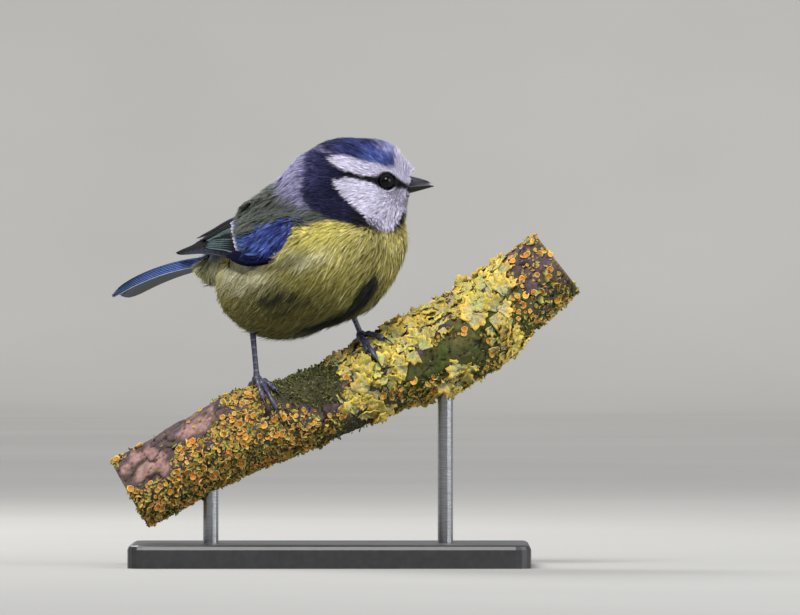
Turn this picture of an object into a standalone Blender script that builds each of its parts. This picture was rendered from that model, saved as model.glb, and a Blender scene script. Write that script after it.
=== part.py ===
# Blue tit at life size, standing on a cut length of branch that a plain display stand holds up.
# Lengths are in millimetres until a mesh is finished, which is then scaled to metres.
# World axes: X to the right across the stand, Y away from the viewing side, Z up, with the
# origin at the middle of the stand's underside.
# Bird axes: X forward, Y to the bird's left, Z up, with the origin in the middle of the trunk.

import math
import random

import bmesh
import bpy
from mathutils import Matrix, Vector
from mathutils.bvhtree import BVHTree

METRES = 0.001
GAP = 0.3

# The bird's place and pose.
BIRD_AT = Vector((-3.9, -1.3, 79.0))
BIRD_TURN = -40.0
HEAD_AT = Vector((12.5, 0.0, 20.0))
HEAD_TURN = 40.0

# Plumage volumes, each with its centre, half sizes and upward pitch in degrees.
TRUNK_VOLUMES = {
    "belly": ((-6.0, 0.0, -2.5), (22.5, 19.5, 17.0), 20.0),
    "breast": ((7.0, 0.0, 3.0), (18.5, 18.0, 18.5), 0.0),
    "keel": ((0.5, 0.0, -1.6), (20.0, 18.4, 16.6), 18.0),
    "back": ((-8.5, 0.0, 8.0), (19.5, 16.0, 13.6), 38.0),
    "rump": ((-22.0, 0.0, 2.0), (12.5, 10.5, 8.4), 10.0),
    "neck": ((3.5, 0.0, 15.2), (16.6, 14.5, 14.6), 40.0),
}
TAIL_COVERTS = ((-31.5, 0.0, -1.2), (11.0, 6.0, 4.6), 8.0)
HEAD_VOLUMES = {
    "skull": ((-1.6, 0.0, 1.3), (13.4, 10.6, 12.0), 0.0),
    "brow": ((5.0, 0.0, 4.4), (9.8, 7.2, 8.4), -12.0),
    "face": ((7.2, 0.0, 0.8), (9.4, 7.2, 8.0), -10.0),
    "cheek_left": ((3.0, 3.6, -3.8), (9.5, 7.4, 8.6), 0.0),
    "cheek_right": ((3.0, -3.6, -3.8), (9.5, 7.4, 8.6), 0.0),
    "throat": ((6.8, 0.0, -6.3), (7.7, 8.2, 6.2), 0.0),
    "nape": ((-8.0, 0.0, -1.0), (10.0, 9.8, 11.5), 35.0),
}
BODY_VOXEL = 1.0
BODY_SMOOTHING = 12
BODY_TRIANGLES = 3400

# Cuts that part the body: a point of each plane and the direction of the node beyond it.
HEAD_CUT = ((9.5, 0.0, 12.0), (0.25, 0.0, 0.97))
NECK_CUT = ((9.5, 0.0, 6.0), (0.3, 0.0, 0.95))
TAIL_CUT = ((-28.3, 0.0, 0.0), (-1.0, 0.0, 0.0))

# Eye and lids, measured from the middle of the head.
EYE_X, EYE_Z = 8.2, 0.8
EYE_RADIUS = 2.15
EYE_SUNK = 1.1
LID_RADIUS = 2.2
LID_THICKNESS = 0.5

# Bill, measured from the middle of the head: distance forward, top of the upper bill, edge where
# the bill closes, bottom of the lower bill and half width.
BILL_STATIONS = (
    (12.4, 1.9, -0.55, -2.1, 1.9),
    (14.4, 2.35, -0.5, -2.3, 2.1),
    (16.0, 2.05, -0.35, -1.95, 1.75),
    (17.8, 1.6, -0.2, -1.45, 1.25),
    (19.6, 1.0, -0.1, -0.95, 0.8),
    (20.8, 0.5, -0.1, -0.62, 0.42),
)
BILL_TIP = (21.5, 0.05)
LOWER_TIP = (20.9, -0.42)
NOSTRIL_AT = (16.1, 1.05)
NOSTRIL_SIZE = 0.3

# Wing, as edges from the wrist to the tip, for the left side.
WING_LOWER = (
    (13.0, 16.6, 4.2),
    (5.5, 18.8, 0.4),
    (-5.5, 19.2, -1.1),
    (-17.0, 16.2, 0.8),
    (-30.6, 8.9, 1.3),
    (-45.6, 3.9, 0.2),
)
WING_UPPER = (
    (12.6, 15.2, 8.2),
    (5.0, 13.9, 11.4),
    (-6.5, 13.0, 12.2),
    (-18.5, 9.3, 10.0),
    (-31.6, 4.9, 6.0),
    (-45.2, 3.3, 1.4),
)
WING_BULGE = 1.5
WING_CORE_DEPTH = 1.2
WING_CORE_END = 0.8
WRIST_AT, WRIST_RAISED = (0.11, 0.5), 0.7
WRIST_SIZE = (4.0, 1.4, 4.9)
VANE_THICKNESS = 0.6
VANE_STATIONS = (0.0, 0.38, 0.84, 1.0)
# Each tier of vanes: how many, the first and last root, the first and last tip, as shares along
# the wing and up it, then the width and the height over the core.
WING_TIERS = {
    "primary": (6, (0.42, 0.2), (0.42, 0.5), (1.0, 0.45), (0.86, 0.72), 3.4, 0.12),
    "secondary": (5, (0.36, 0.42), (0.36, 0.8), (0.84, 0.66), (0.77, 0.88), 3.8, 0.42),
    "tertial": (3, (0.34, 0.74), (0.34, 0.86), (0.78, 0.82), (0.66, 0.88), 4.0, 0.9),
    "primary_covert": (2, (0.24, 0.12), (0.24, 0.24), (0.6, 0.14), (0.57, 0.26), 3.0, 0.85),
    "greater_covert": (6, (0.2, 0.3), (0.18, 0.86), (0.54, 0.3), (0.5, 0.87), 3.6, 0.95),
    "median_covert": (5, (0.02, 0.28), (0.02, 0.78), (0.36, 0.2), (0.32, 0.86), 4.2, 1.2),
}
SHINGLE_RISE = 0.35
VANE_ROOT_HEIGHT = 0.1
VANE_LEAN = -0.12
WING_LENGTH = 60.0

# Tail: its ridge as (forward, up), and how fast each side of it droops away from the ridge.
TAIL_LINE = ((-29.2, 1.6), (-38.0, 1.5), (-49.0, -0.1), (-59.4, -3.1), (-67.5, -6.6))
TAIL_DROOP = {-1.0: 0.09, 1.0: 0.14}
# How far each pair reaches along that line, from the middle pair to the outermost.
TAIL_REACH = (0.965, 0.975, 0.985, 1.0, 0.995, 0.98)
TAIL_VANE_WIDTH = 5.4
TAIL_ROOT_HALF = 2.2
TAIL_TIP_HALF = 3.2
TAIL_LAYER = 0.26
TAIL_STATIONS = (0.0, 0.45, 0.84, 0.96, 1.0)
TAIL_CORE_DEPTH = 0.9
TAIL_CORE_STATIONS = (0.0, 0.3, 0.6, 0.86)

# Legs: where each leaves the plumage and where its foot stands, in world axes, and how far each
# toe's claw reaches, as (x, z).
LEGS = {
    "right": {
        "top": (-20.6, 2.2, 66.0),
        "ball": (-19.0, 0.6),
        "toes": {"outer": (-12.2, 43.6), "middle": (-11.8, 37.0), "inner": (-16.2, 40.2)},
        "hallux": (-21.0, -62.0),
    },
    "left": {
        "top": (4.8, 2.0, 68.0),
        "ball": (8.1, 0.8),
        "toes": {"outer": (16.6, 57.6), "middle": (14.2, 50.6), "inner": (11.2, 53.2)},
        "hallux": (6.6, -58.0),
    },
}
TARSUS_TOP_RADIUS, TARSUS_RADIUS = 1.15, 0.8
TOE_RADIUS, CLAW_RADIUS = 0.72, 0.42
BALL_RADIUS = 1.35
TOE_CLEARANCE = 0.42
LEG_SIDES = 8
TOE_SIDES = 6

# Branch: the middle line as (x, z) with the radius there.
PERCH_LINE = (
    (-52.0, 18.7, 9.6),
    (-34.0, 29.0, 9.9),
    (-23.0, 35.0, 10.3),
    (-10.0, 39.2, 9.7),
    (5.0, 45.0, 9.4),
    (18.0, 51.8, 10.6),
    (29.0, 56.4, 11.2),
    (38.0, 61.8, 11.6),
    (47.0, 69.4, 10.2),
    (59.0, 79.0, 9.2),
)
PERCH_SIDES = 22
PERCH_RINGS = 27
PERCH_ROUGHNESS = 0.35

# Stand.
BASE_SIZE = (104.0, 64.0, 6.0)
BASE_CORNER = 4.0
BASE_BEVEL = 1.2
ROD_RADIUS = 2.0
ROD_X = (-31.0, 30.0)
ROD_SUNK = 4.5

# Base colour as red, green and blue, then roughness and metallic.
COLOURS = {
    "blue_crown": (0.10, 0.14, 0.42, 0.6, 0.0),
    "green_back": (0.20, 0.24, 0.16, 0.7, 0.0),
    "yellow_breast": (0.52, 0.47, 0.10, 0.7, 0.0),
    "wing_blue": (0.06, 0.12, 0.38, 0.55, 0.0),
    "tail_blue": (0.10, 0.20, 0.48, 0.5, 0.0),
    "bill_horn": (0.05, 0.05, 0.07, 0.35, 0.0),
    "eye_black": (0.01, 0.01, 0.01, 0.05, 0.0),
    "leg_blue_grey": (0.09, 0.09, 0.16, 0.5, 0.0),
    "bark": (0.16, 0.13, 0.09, 0.9, 0.0),
    "stand_paint": (0.02, 0.02, 0.02, 0.4, 0.0),
    "rod_steel": (0.35, 0.35, 0.36, 0.35, 1.0),
}


def clear_scene():
    for old in list(bpy.data.objects):
        bpy.data.objects.remove(old, do_unlink=True)


def material(name):
    found = bpy.data.materials.get(name)
    if found:
        return found
    red, green, blue, roughness, metallic = COLOURS[name]
    made = bpy.data.materials.new(name)
    made.use_nodes = True
    shader = made.node_tree.nodes["Principled BSDF"]
    shader.inputs["Base Color"].default_value = (red, green, blue, 1.0)
    shader.inputs["Roughness"].default_value = roughness
    shader.inputs["Metallic"].default_value = metallic
    return made


def object_from(bm, name):
    mesh = bpy.data.meshes.new(name)
    bmesh.ops.recalc_face_normals(bm, faces=bm.faces)
    bm.to_mesh(mesh)
    bm.free()
    made = bpy.data.objects.new(name, mesh)
    bpy.context.scene.collection.objects.link(made)
    return made


def apply_modifiers(target):
    """Gives the object the mesh that its modifiers make, and removes them."""
    bpy.context.view_layer.update()
    graph = bpy.context.evaluated_depsgraph_get()
    mesh = bpy.data.meshes.new_from_object(target.evaluated_get(graph))
    target.modifiers.clear()
    target.data = mesh
    return target


def connected_groups(bm):
    """The mesh's vertices, as one set for each closed surface."""
    unseen = set(bm.verts)
    groups = []
    while unseen:
        front = [unseen.pop()]
        group = set(front)
        while front:
            near = {vert for edge in front.pop().link_edges for vert in edge.verts} & unseen
            unseen -= near
            group |= near
            front.extend(near)
        groups.append(group)
    return groups


def box_volume(group):
    sides = [max(v.co[i] for v in group) - min(v.co[i] for v in group) for i in range(3)]
    return math.prod(sides)


def keep_largest(target):
    """Keeps the closed surface that fills the largest box."""
    bm = bmesh.new()
    bm.from_mesh(target.data)
    kept = max(connected_groups(bm), key=box_volume)
    bmesh.ops.delete(bm, geom=[v for v in bm.verts if v not in kept], context="VERTS")
    bm.to_mesh(target.data)
    bm.free()
    return target


def remove(objects):
    for old in objects:
        bpy.data.objects.remove(old, do_unlink=True)


def combine(target, others, operation):
    """One Boolean of the target with a collection of closed meshes, applied."""
    group = bpy.data.collections.new("operands")
    bpy.context.scene.collection.children.link(group)
    for other in others:
        group.objects.link(other)
    boolean = target.modifiers.new(operation.lower(), "BOOLEAN")
    boolean.operation = operation
    boolean.operand_type = "COLLECTION"
    boolean.collection = group
    boolean.solver = "EXACT"
    apply_modifiers(target)
    remove(others)
    bpy.data.collections.remove(group)
    return keep_largest(target)


def union(pieces):
    return combine(pieces[0], pieces[1:], "UNION")


def difference(target, cutters):
    return combine(target, cutters, "DIFFERENCE")


def catmull_rom(points, share):
    """A smooth curve through the points, of any number of coordinates, at share from 0 to 1."""
    spans = len(points) - 1
    place = min(max(share, 0.0), 1.0) * spans
    index = min(int(place), spans - 1)
    t = place - index
    p1, p2 = points[index], points[index + 1]
    p0 = points[index - 1] if index else [2 * a - b for a, b in zip(p1, p2)]
    last = index + 2 <= spans
    p3 = points[index + 2] if last else [2 * b - a for a, b in zip(p1, p2)]
    return [
        b + 0.5 * t * (c - a + t * (2 * a - 5 * b + 4 * c - d + t * (3 * b - a - 3 * c + d)))
        for a, b, c, d in zip(p0, p1, p2, p3)
    ]


def skin_rings(rings, name):
    """A closed tube over rings of points, with each end filled."""
    bm = bmesh.new()
    rows = [[bm.verts.new(point) for point in ring] for ring in rings]
    for first, second in zip(rows, rows[1:]):
        count = len(first)
        for i in range(count):
            j = (i + 1) % count
            bm.faces.new((first[i], first[j], second[j], second[i]))
    bm.faces.new(rows[0][::-1])
    bm.faces.new(rows[-1])
    bmesh.ops.triangulate(bm, faces=bm.faces)
    return object_from(bm, name)


def ellipsoid(centre, half_sizes, pitch, name, detail=3):
    bm = bmesh.new()
    bmesh.ops.create_icosphere(bm, subdivisions=detail, radius=1.0)
    turn = Matrix.Rotation(math.radians(-pitch), 4, "Y")
    place = Matrix.Translation(centre) @ turn @ Matrix.Diagonal((*half_sizes, 1.0))
    bmesh.ops.transform(bm, matrix=place, verts=bm.verts)
    return object_from(bm, name)


def tree_of(target):
    return BVHTree.FromPolygons(
        [v.co for v in target.data.vertices], [tuple(p.vertices) for p in target.data.polygons]
    )


def head_matrix():
    return Matrix.Translation(HEAD_AT) @ Matrix.Rotation(math.radians(HEAD_TURN), 4, "Z")


def bird_matrix():
    return Matrix.Translation(BIRD_AT) @ Matrix.Rotation(math.radians(BIRD_TURN), 4, "Z")


def place(target, matrix):
    target.data.transform(matrix)
    return target


def finish(target, name, colour, smooth_angle=40.0):
    """Names the node, gives it its colour and turns its mesh into metres."""
    target.name = name
    target.data.name = name
    target.data.transform(Matrix.Scale(METRES, 4))
    target.data.materials.clear()
    target.data.materials.append(material(colour))
    target.data.shade_smooth()
    target.data.set_sharp_from_angle(angle=math.radians(smooth_angle))
    return target


# The trunk, neck and head, modelled whole and parted by thin cuts


def whole_body():
    """The plumage outline of head, neck, trunk and tail coverts as one smooth mesh in bird axes."""
    pieces = [ellipsoid(*size, name) for name, size in TRUNK_VOLUMES.items()]
    pieces.append(ellipsoid(*TAIL_COVERTS, "tail_coverts"))
    for name, size in HEAD_VOLUMES.items():
        pieces.append(place(ellipsoid(*size, name), head_matrix()))
    body = union(pieces)
    remesh = body.modifiers.new("blend", "REMESH")
    remesh.mode = "VOXEL"
    remesh.voxel_size = BODY_VOXEL
    smooth = body.modifiers.new("soften", "SMOOTH")
    smooth.factor = 0.5
    smooth.iterations = BODY_SMOOTHING
    return keep_largest(apply_modifiers(body))


def thin_out(target, triangles):
    target.data.calc_loop_triangles()
    decimate = target.modifiers.new("thin_out", "DECIMATE")
    decimate.ratio = triangles / len(target.data.loop_triangles)
    return apply_modifiers(target)


def slice_between(body, name, planes):
    """A copy of the body that keeps what lies behind each plane's normal, with the cuts filled."""
    bm = bmesh.new()
    bm.from_mesh(body.data)
    for point, normal in planes:
        everything = bm.verts[:] + bm.edges[:] + bm.faces[:]
        cut = bmesh.ops.bisect_plane(
            bm, geom=everything, plane_co=point, plane_no=normal, clear_outer=True, dist=1e-5
        )
        rim = [edge for edge in cut["geom_cut"] if isinstance(edge, bmesh.types.BMEdge)]
        bmesh.ops.edgeloop_fill(bm, edges=rim)
    bmesh.ops.triangulate(bm, faces=bm.faces)
    return keep_largest(object_from(bm, name))


# Feather vanes


def vane_shape(share, blunt):
    """Half width of a vane along its length, as a share of its widest."""
    swell = math.sin(math.pi * min(0.5, 0.2 + 0.5 * share))
    return max(0.14, swell * math.sqrt(1.0 - share**blunt))


def vane(frame_of, width, stations, blunt=5.0, lean=0.0):
    """A thin vane. frame_of(share) gives its middle, its side direction and its outer direction."""
    rings = []
    for share in stations:
        middle, side, outer = frame_of(share)
        half = 0.5 * width * vane_shape(share, blunt)
        thick = 0.5 * VANE_THICKNESS * (1.0 - 0.35 * share)
        tilt = outer * (lean * half)
        rings.append(
            (
                middle + side * half + tilt,
                middle + outer * thick,
                middle - side * half - tilt,
                middle - outer * thick,
            )
        )
    return skin_rings(rings, "vane")


# Wings, for the left side


def wing_surface(along, up):
    """A point of the wing's middle surface and its outward direction."""

    def point(s, t):
        low = Vector(catmull_rom(WING_LOWER, s))
        high = Vector(catmull_rom(WING_UPPER, s))
        swell = WING_BULGE * (1.0 - s) * 4.0 * t * (1.0 - t)
        return low.lerp(high, t) + Vector((0.0, swell, 0.25 * swell))

    step = 0.01
    ahead = point(min(along + step, 1.0), up) - point(max(along - step, 0.0), up)
    above = point(along, up + step) - point(along, up - step)
    return point(along, up), ahead.cross(above).normalized()


def wing_slab(first, last, low, high, inner, outer, steps, rows):
    """A closed slab over part of the wing's surface, between two heights over it."""
    bm = bmesh.new()
    layers = []
    for height in (inner, outer):
        grid = []
        for i in range(steps + 1):
            row = []
            for j in range(rows + 1):
                share = first + (last - first) * i / steps
                up = low + (high - low) * j / rows
                at, out = wing_surface(min(max(share, 0.0), 1.0), up)
                overrun = share - min(max(share, 0.0), 1.0)
                row.append(bm.verts.new(at + out * height - Vector((WING_LENGTH * overrun, 0.0, 0.0))))
            grid.append(row)
        layers.append(grid)
    for grid in layers:
        for i in range(steps):
            for j in range(rows):
                bm.faces.new((grid[i][j], grid[i + 1][j], grid[i + 1][j + 1], grid[i][j + 1]))
    below, above = layers
    rim = [(i, 0) for i in range(steps)] + [(steps, j) for j in range(rows)]
    rim += [(i, rows) for i in range(steps, 0, -1)] + [(0, j) for j in range(rows, 0, -1)]
    for (i, j), (k, m) in zip(rim, rim[1:] + rim[:1]):
        bm.faces.new((below[i][j], below[k][m], above[k][m], above[i][j]))
    bmesh.ops.triangulate(bm, faces=bm.faces)
    return object_from(bm, "slab")


def wing_vane(root, tip, width, height):
    """A vane along the wing, its root sunk in the core and its tip over the tier below."""
    slope = (tip[1] - root[1]) / (tip[0] - root[0])

    def frame_of(share):
        along = min(root[0] + (tip[0] - root[0]) * share, 0.985)
        up = root[1] + slope * (along - root[0])
        at, out = wing_surface(along, up)
        ahead, _ = wing_surface(along + 0.01, up + 0.01 * slope)
        behind, _ = wing_surface(along - 0.01, up - 0.01 * slope)
        path = (ahead - behind).normalized()
        side = out.cross(path).normalized()
        beyond = path * (WING_LENGTH * (root[0] + (tip[0] - root[0]) * share - along))
        over = 0.5 * WING_CORE_DEPTH + height * min(1.0, VANE_ROOT_HEIGHT + 1.4 * share) + 0.3 * share
        return at + beyond + out * over, side, out

    return vane(frame_of, width, VANE_STATIONS, 4.0, VANE_LEAN)


def build_wing(draw):
    half = 0.5 * WING_CORE_DEPTH
    pieces = [wing_slab(0.0, WING_CORE_END, 0.04, 0.96, -half, half, 7, 2)]
    at, out = wing_surface(*WRIST_AT)
    pieces.append(ellipsoid(at + out * WRIST_RAISED, WRIST_SIZE, 0.0, "wrist", 2))
    for count, first, last, first_tip, last_tip, width, height in WING_TIERS.values():
        for index in range(count):
            share = index / (count - 1)
            root = [a + (b - a) * share for a, b in zip(first, last)]
            tip = [a + (b - a) * share for a, b in zip(first_tip, last_tip)]
            tip[0] += draw.uniform(-0.008, 0.008)
            wide = width * draw.uniform(0.95, 1.05)
            pieces.append(wing_vane(root, tip, wide, height + SHINGLE_RISE * share))
    return union(pieces)


def wing_pocket():
    inner = -0.5 * WING_CORE_DEPTH - GAP - 0.15
    return wing_slab(-0.02, 1.0, -0.07, 1.07, inner, 14.0, 12, 4)


def mirrored(target):
    """Turns the object's mesh into the one for the other side."""
    target.data.transform(Matrix.Diagonal((1.0, -1.0, 1.0, 1.0)))
    target.data.flip_normals()
    return target


# Tail


def tail_frame(share, away, droop):
    """A point of the tail this far to the left of its ridge, its side and its upper direction."""
    forward, up = catmull_rom(TAIL_LINE, share)
    ahead, above = catmull_rom(TAIL_LINE, min(share + 0.02, 1.0))
    behind, below = catmull_rom(TAIL_LINE, max(share - 0.02, 0.0))
    upward = Vector((below - above, 0.0, ahead - behind)).normalized()
    if upward.z < 0.0:
        upward = -upward
    at = Vector((forward, away, up)) - upward * (droop * away * away)
    side = Vector((0.0, 1.0, 0.0)) - upward * (2.0 * droop * away)
    outer = upward + Vector((0.0, 2.0 * droop * away, 0.0))
    return at, side.normalized(), outer.normalized()


def tail_spread(share):
    return TAIL_ROOT_HALF + (TAIL_TIP_HALF - TAIL_ROOT_HALF) * share


def tail_core():
    """The bundle of shafts under the vanes, as one closed solid."""
    rings = []
    for share in TAIL_CORE_STATIONS:
        upper, lower = [], []
        for step in range(-3, 4):
            away = tail_spread(share) * step / 3
            at, _, outer = tail_frame(share, away, TAIL_DROOP[1.0 if step > 0 else -1.0])
            layered = TAIL_LAYER * len(TAIL_REACH) * abs(step) / 3
            upper.append(at - outer * layered)
            lower.append(at - outer * (layered + TAIL_CORE_DEPTH))
        rings.append(upper + lower[::-1])
    return skin_rings(rings, "core")


def build_tail(coverts, draw):
    pieces = [tail_core()]
    for pair, pair_reach in enumerate(TAIL_REACH):
        for hand in (-1.0, 1.0):
            place_out = (pair + 0.5) / len(TAIL_REACH) * hand
            reach = pair_reach + draw.uniform(-0.004, 0.004)
            drop = TAIL_LAYER * (pair + (0.4 if hand < 0.0 else 0.0))

            def frame_of(share, place_out=place_out, reach=reach, drop=drop, hand=hand):
                away = place_out * tail_spread(share)
                at, side, outer = tail_frame(share * reach, away, TAIL_DROOP[hand])
                return at - outer * drop, side, outer

            width = TAIL_VANE_WIDTH * (1.0 - 0.2 * abs(place_out))
            pieces.append(vane(frame_of, width, TAIL_STATIONS, 9.0))
    return union([coverts] + pieces)


# Head details


def eye_place(head, hand):
    """The middle of the eye on one side, in bird axes, from where the head's surface lies."""
    tree = tree_of(head)
    out = head_matrix().to_3x3() @ Vector((0.12, hand, 0.0)).normalized()
    far = head_matrix() @ Vector((EYE_X, 0.0, EYE_Z)) + out * 30.0
    at, facing, _, _ = tree.ray_cast(far, -out)
    return at - out * EYE_SUNK, (out + facing).normalized()


def lid_ring(centre, out):
    """A ring of lid, a little longer than it is high, that stands proud of the head."""
    bpy.ops.mesh.primitive_torus_add(
        major_segments=20, minor_segments=6, major_radius=LID_RADIUS, minor_radius=LID_THICKNESS
    )
    ring = bpy.context.object
    forward = head_matrix().to_3x3() @ Vector((1.0, 0.0, 0.0))
    up = out.cross(forward).normalized()
    ahead = up.cross(out).normalized()
    turn = Matrix((ahead * 1.06, up * 0.98, out)).transposed().to_4x4()
    return place(ring, Matrix.Translation(centre + out * (EYE_SUNK - 0.1)) @ turn)


def bill_half(upper, grow=0.0):
    """One mandible in head axes, as rings of seven points from the root to the tip."""
    away = 1.0 if upper else -1.0
    root = (BILL_STATIONS[0][0] - grow,) + BILL_STATIONS[0][1:]
    rings = []
    for x, top, edge, bottom, half in (root,) + BILL_STATIONS[1:]:
        closing = edge + away * (0.5 * GAP + 0.02 - grow)
        depth = (top if upper else bottom) + away * grow - closing
        wide = half + grow
        outline = ((1.0, 0.0), (0.93, 0.42), (0.5, 0.88), (0.0, 1.0))
        side = [(x, wide * y, closing + depth * z) for y, z in outline]
        rings.append(side + [(x, -y, z) for x, y, z in side[-2::-1]])
    tip_x, tip_z = BILL_TIP if upper else LOWER_TIP
    last = rings[-1]
    rings.append([(tip_x, y * 0.12, tip_z + (z - last[0][2]) * 0.12) for _, y, z in last])
    return place(skin_rings(rings, "bill"), head_matrix())


def nostril(hand):
    x, z = NOSTRIL_AT
    pit = ellipsoid((x, hand * 1.75, z), (0.55, 0.55, NOSTRIL_SIZE), 12.0, "nostril", 2)
    return place(pit, head_matrix())


# Branch


def perch_point(share):
    """The branch's middle, its direction, its own upward direction and its radius at a share along it."""
    x, z, radius = catmull_rom(PERCH_LINE, share)
    ahead_x, ahead_z, _ = catmull_rom(PERCH_LINE, min(share + 0.01, 1.0))
    back_x, back_z, _ = catmull_rom(PERCH_LINE, max(share - 0.01, 0.0))
    along = Vector((ahead_x - back_x, 0.0, ahead_z - back_z)).normalized()
    return Vector((x, 0.0, z)), along, Vector((-along.z, 0.0, along.x)), radius


def perch_share(x):
    """The share along the branch at which its middle lies at x."""
    low, high = 0.0, 1.0
    for _ in range(40):
        middle = 0.5 * (low + high)
        if perch_point(middle)[0].x < x:
            low = middle
        else:
            high = middle
    return 0.5 * (low + high)


def build_perch(draw):
    lobes = [(draw.uniform(0.0, math.tau), draw.uniform(0.5, 1.2), draw.randint(2, 5)) for _ in range(6)]
    rings = []
    for index in range(PERCH_RINGS):
        share = index / (PERCH_RINGS - 1)
        at, _, up, radius = perch_point(share)
        ring = []
        for side in range(PERCH_SIDES):
            turn = math.tau * side / PERCH_SIDES
            swell = sum(math.sin(n * turn + phase + 9.0 * rate * share) for phase, rate, n in lobes)
            away = radius + PERCH_ROUGHNESS * (swell / 2.4 + draw.uniform(-0.5, 0.5))
            ring.append(at + (up * math.cos(turn) + Vector((0.0, math.sin(turn), 0.0))) * away)
        rings.append(ring)
    return skin_rings(rings, "perch")


# Legs and feet


def tube(path, radii, sides, name):
    """A tube along a path of points, with a radius at each."""
    rings = []
    facing = Vector((0.31, 0.9, 0.3))
    for index, at in enumerate(path):
        ahead = path[min(index + 1, len(path) - 1)] - path[max(index - 1, 0)]
        ahead.normalize()
        first = ahead.cross(facing).normalized()
        facing = first.cross(ahead).normalized()
        ring = []
        for side in range(sides):
            turn = math.tau * side / sides
            ring.append(at + (first * math.cos(turn) + facing * math.sin(turn)) * radii[index])
        rings.append(ring)
    return skin_rings(rings, name)


def on_perch(tree, along_x, angle, clearance):
    """A point at this clearance from the branch's surface, at an angle from its top to the front."""
    at, _, up, _ = perch_point(perch_share(along_x))
    out = up * math.cos(angle) - Vector((0.0, math.sin(angle), 0.0))
    hit = tree.ray_cast(at + out * 30.0, -out)[0]
    return hit + out * clearance


def ball_centre(tree, leg):
    x, y = leg["ball"]
    hit = tree.ray_cast(Vector((x, y, 120.0)), Vector((0.0, 0.0, -1.0)))[0]
    return hit + Vector((0.0, 0.0, BALL_RADIUS + TOE_CLEARANCE + 0.15))


def toe(tree, centre, tip_x, tip_angle, steps):
    """A toe that bends round the branch from the ball of the foot, with joints and a claw."""
    at, _, up, _ = perch_point(perch_share(centre.x))
    offset = centre - at
    start_angle = math.atan2(-offset.y, offset.dot(up))
    start_x = centre.x - up.x * offset.dot(up)
    path, radii = [centre.copy()], [TOE_RADIUS * 1.15]
    for index in range(1, steps + 1):
        share = index / steps
        claw = max(0.0, (share - 0.74) / 0.26)
        joint = 0.09 * math.cos(math.tau * 3.0 * share)
        flesh = TOE_RADIUS * (1.08 - 0.3 * share) + joint
        radius = max(0.12, flesh * (1.0 - claw) + CLAW_RADIUS * claw * (1.0 - 0.82 * claw))
        lift = 0.25 * math.sin(math.pi * min(1.0, share / 0.74)) + 0.55 * math.sin(math.pi * claw)
        angle = start_angle + (tip_angle - start_angle) * share
        x = start_x + (tip_x - start_x) * share
        path.append(on_perch(tree, x, angle, radius + TOE_CLEARANCE + lift))
        radii.append(radius)
    return tube(path, radii, TOE_SIDES, "toe")


def build_foot(tree, leg):
    centre = ball_centre(tree, leg)
    ball = ellipsoid(centre, (BALL_RADIUS * 1.1, BALL_RADIUS, BALL_RADIUS), 0.0, "ball", 2)
    pieces = [ball]
    for tip_x, tip_z in leg["toes"].values():
        guess = tip_x
        for _ in range(12):
            at, _, up, radius = perch_point(perch_share(guess))
            reach = radius + TOE_CLEARANCE + 0.3
            cosine = min(1.0, max(-1.0, (tip_z - at.z) / (reach * up.z)))
            guess = tip_x - up.x * reach * cosine
        pieces.append(toe(tree, centre, guess, math.acos(cosine), 10))
    hallux_x, hallux_angle = leg["hallux"]
    pieces.append(toe(tree, centre, hallux_x, math.radians(hallux_angle), 8))
    return union(pieces), centre


def leg_path(leg, centre):
    top = Vector(leg["top"])
    lean = (top - centre).normalized()
    foot = centre + lean * (BALL_RADIUS + GAP + 0.02)
    return [top, top.lerp(foot, 0.3), top.lerp(foot, 0.62), top.lerp(foot, 0.9), foot]


def build_leg(leg, centre, grow=0.0):
    path = leg_path(leg, centre)
    mean = 0.5 * (TARSUS_TOP_RADIUS + TARSUS_RADIUS)
    radii = [TARSUS_TOP_RADIUS, mean, TARSUS_RADIUS, TARSUS_RADIUS, TARSUS_RADIUS * 1.15]
    if grow:
        path = [path[0] + (path[0] - path[1]).normalized() * grow] + path[1:]
        radii = [radius + grow for radius in radii]
    return tube(path, radii, LEG_SIDES, "leg")


# Stand


def cylinder(x, radius, bottom, top, name, sides=24):
    bm = bmesh.new()
    bmesh.ops.create_cone(
        bm, cap_ends=True, segments=sides, radius1=radius, radius2=radius, depth=top - bottom
    )
    bmesh.ops.translate(bm, vec=(x, 0.0, 0.5 * (bottom + top)), verts=bm.verts)
    return object_from(bm, name)


def build_base():
    bm = bmesh.new()
    bmesh.ops.create_cube(bm, size=1.0)
    bmesh.ops.scale(bm, vec=BASE_SIZE, verts=bm.verts)
    bmesh.ops.translate(bm, vec=(0.0, 0.0, 0.5 * BASE_SIZE[2]), verts=bm.verts)
    upright = [e for e in bm.edges if abs(e.verts[0].co.z - e.verts[1].co.z) > 1.0]
    rounded = {"offset_type": "OFFSET", "profile": 0.5, "affect": "EDGES", "material": -1}
    bmesh.ops.bevel(bm, geom=upright, offset=BASE_CORNER, segments=4, **rounded)
    top = [e for e in bm.edges if all(v.co.z > BASE_SIZE[2] - 0.01 for v in e.verts)]
    bmesh.ops.bevel(bm, geom=top, offset=BASE_BEVEL, segments=2, **rounded)
    return object_from(bm, "stand_base")


def rod_ends(tree, x):
    hit = tree.ray_cast(Vector((x, 0.0, 0.0)), Vector((0.0, 0.0, 1.0)))[0]
    return BASE_SIZE[2] - ROD_SUNK, hit.z + ROD_SUNK


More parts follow.
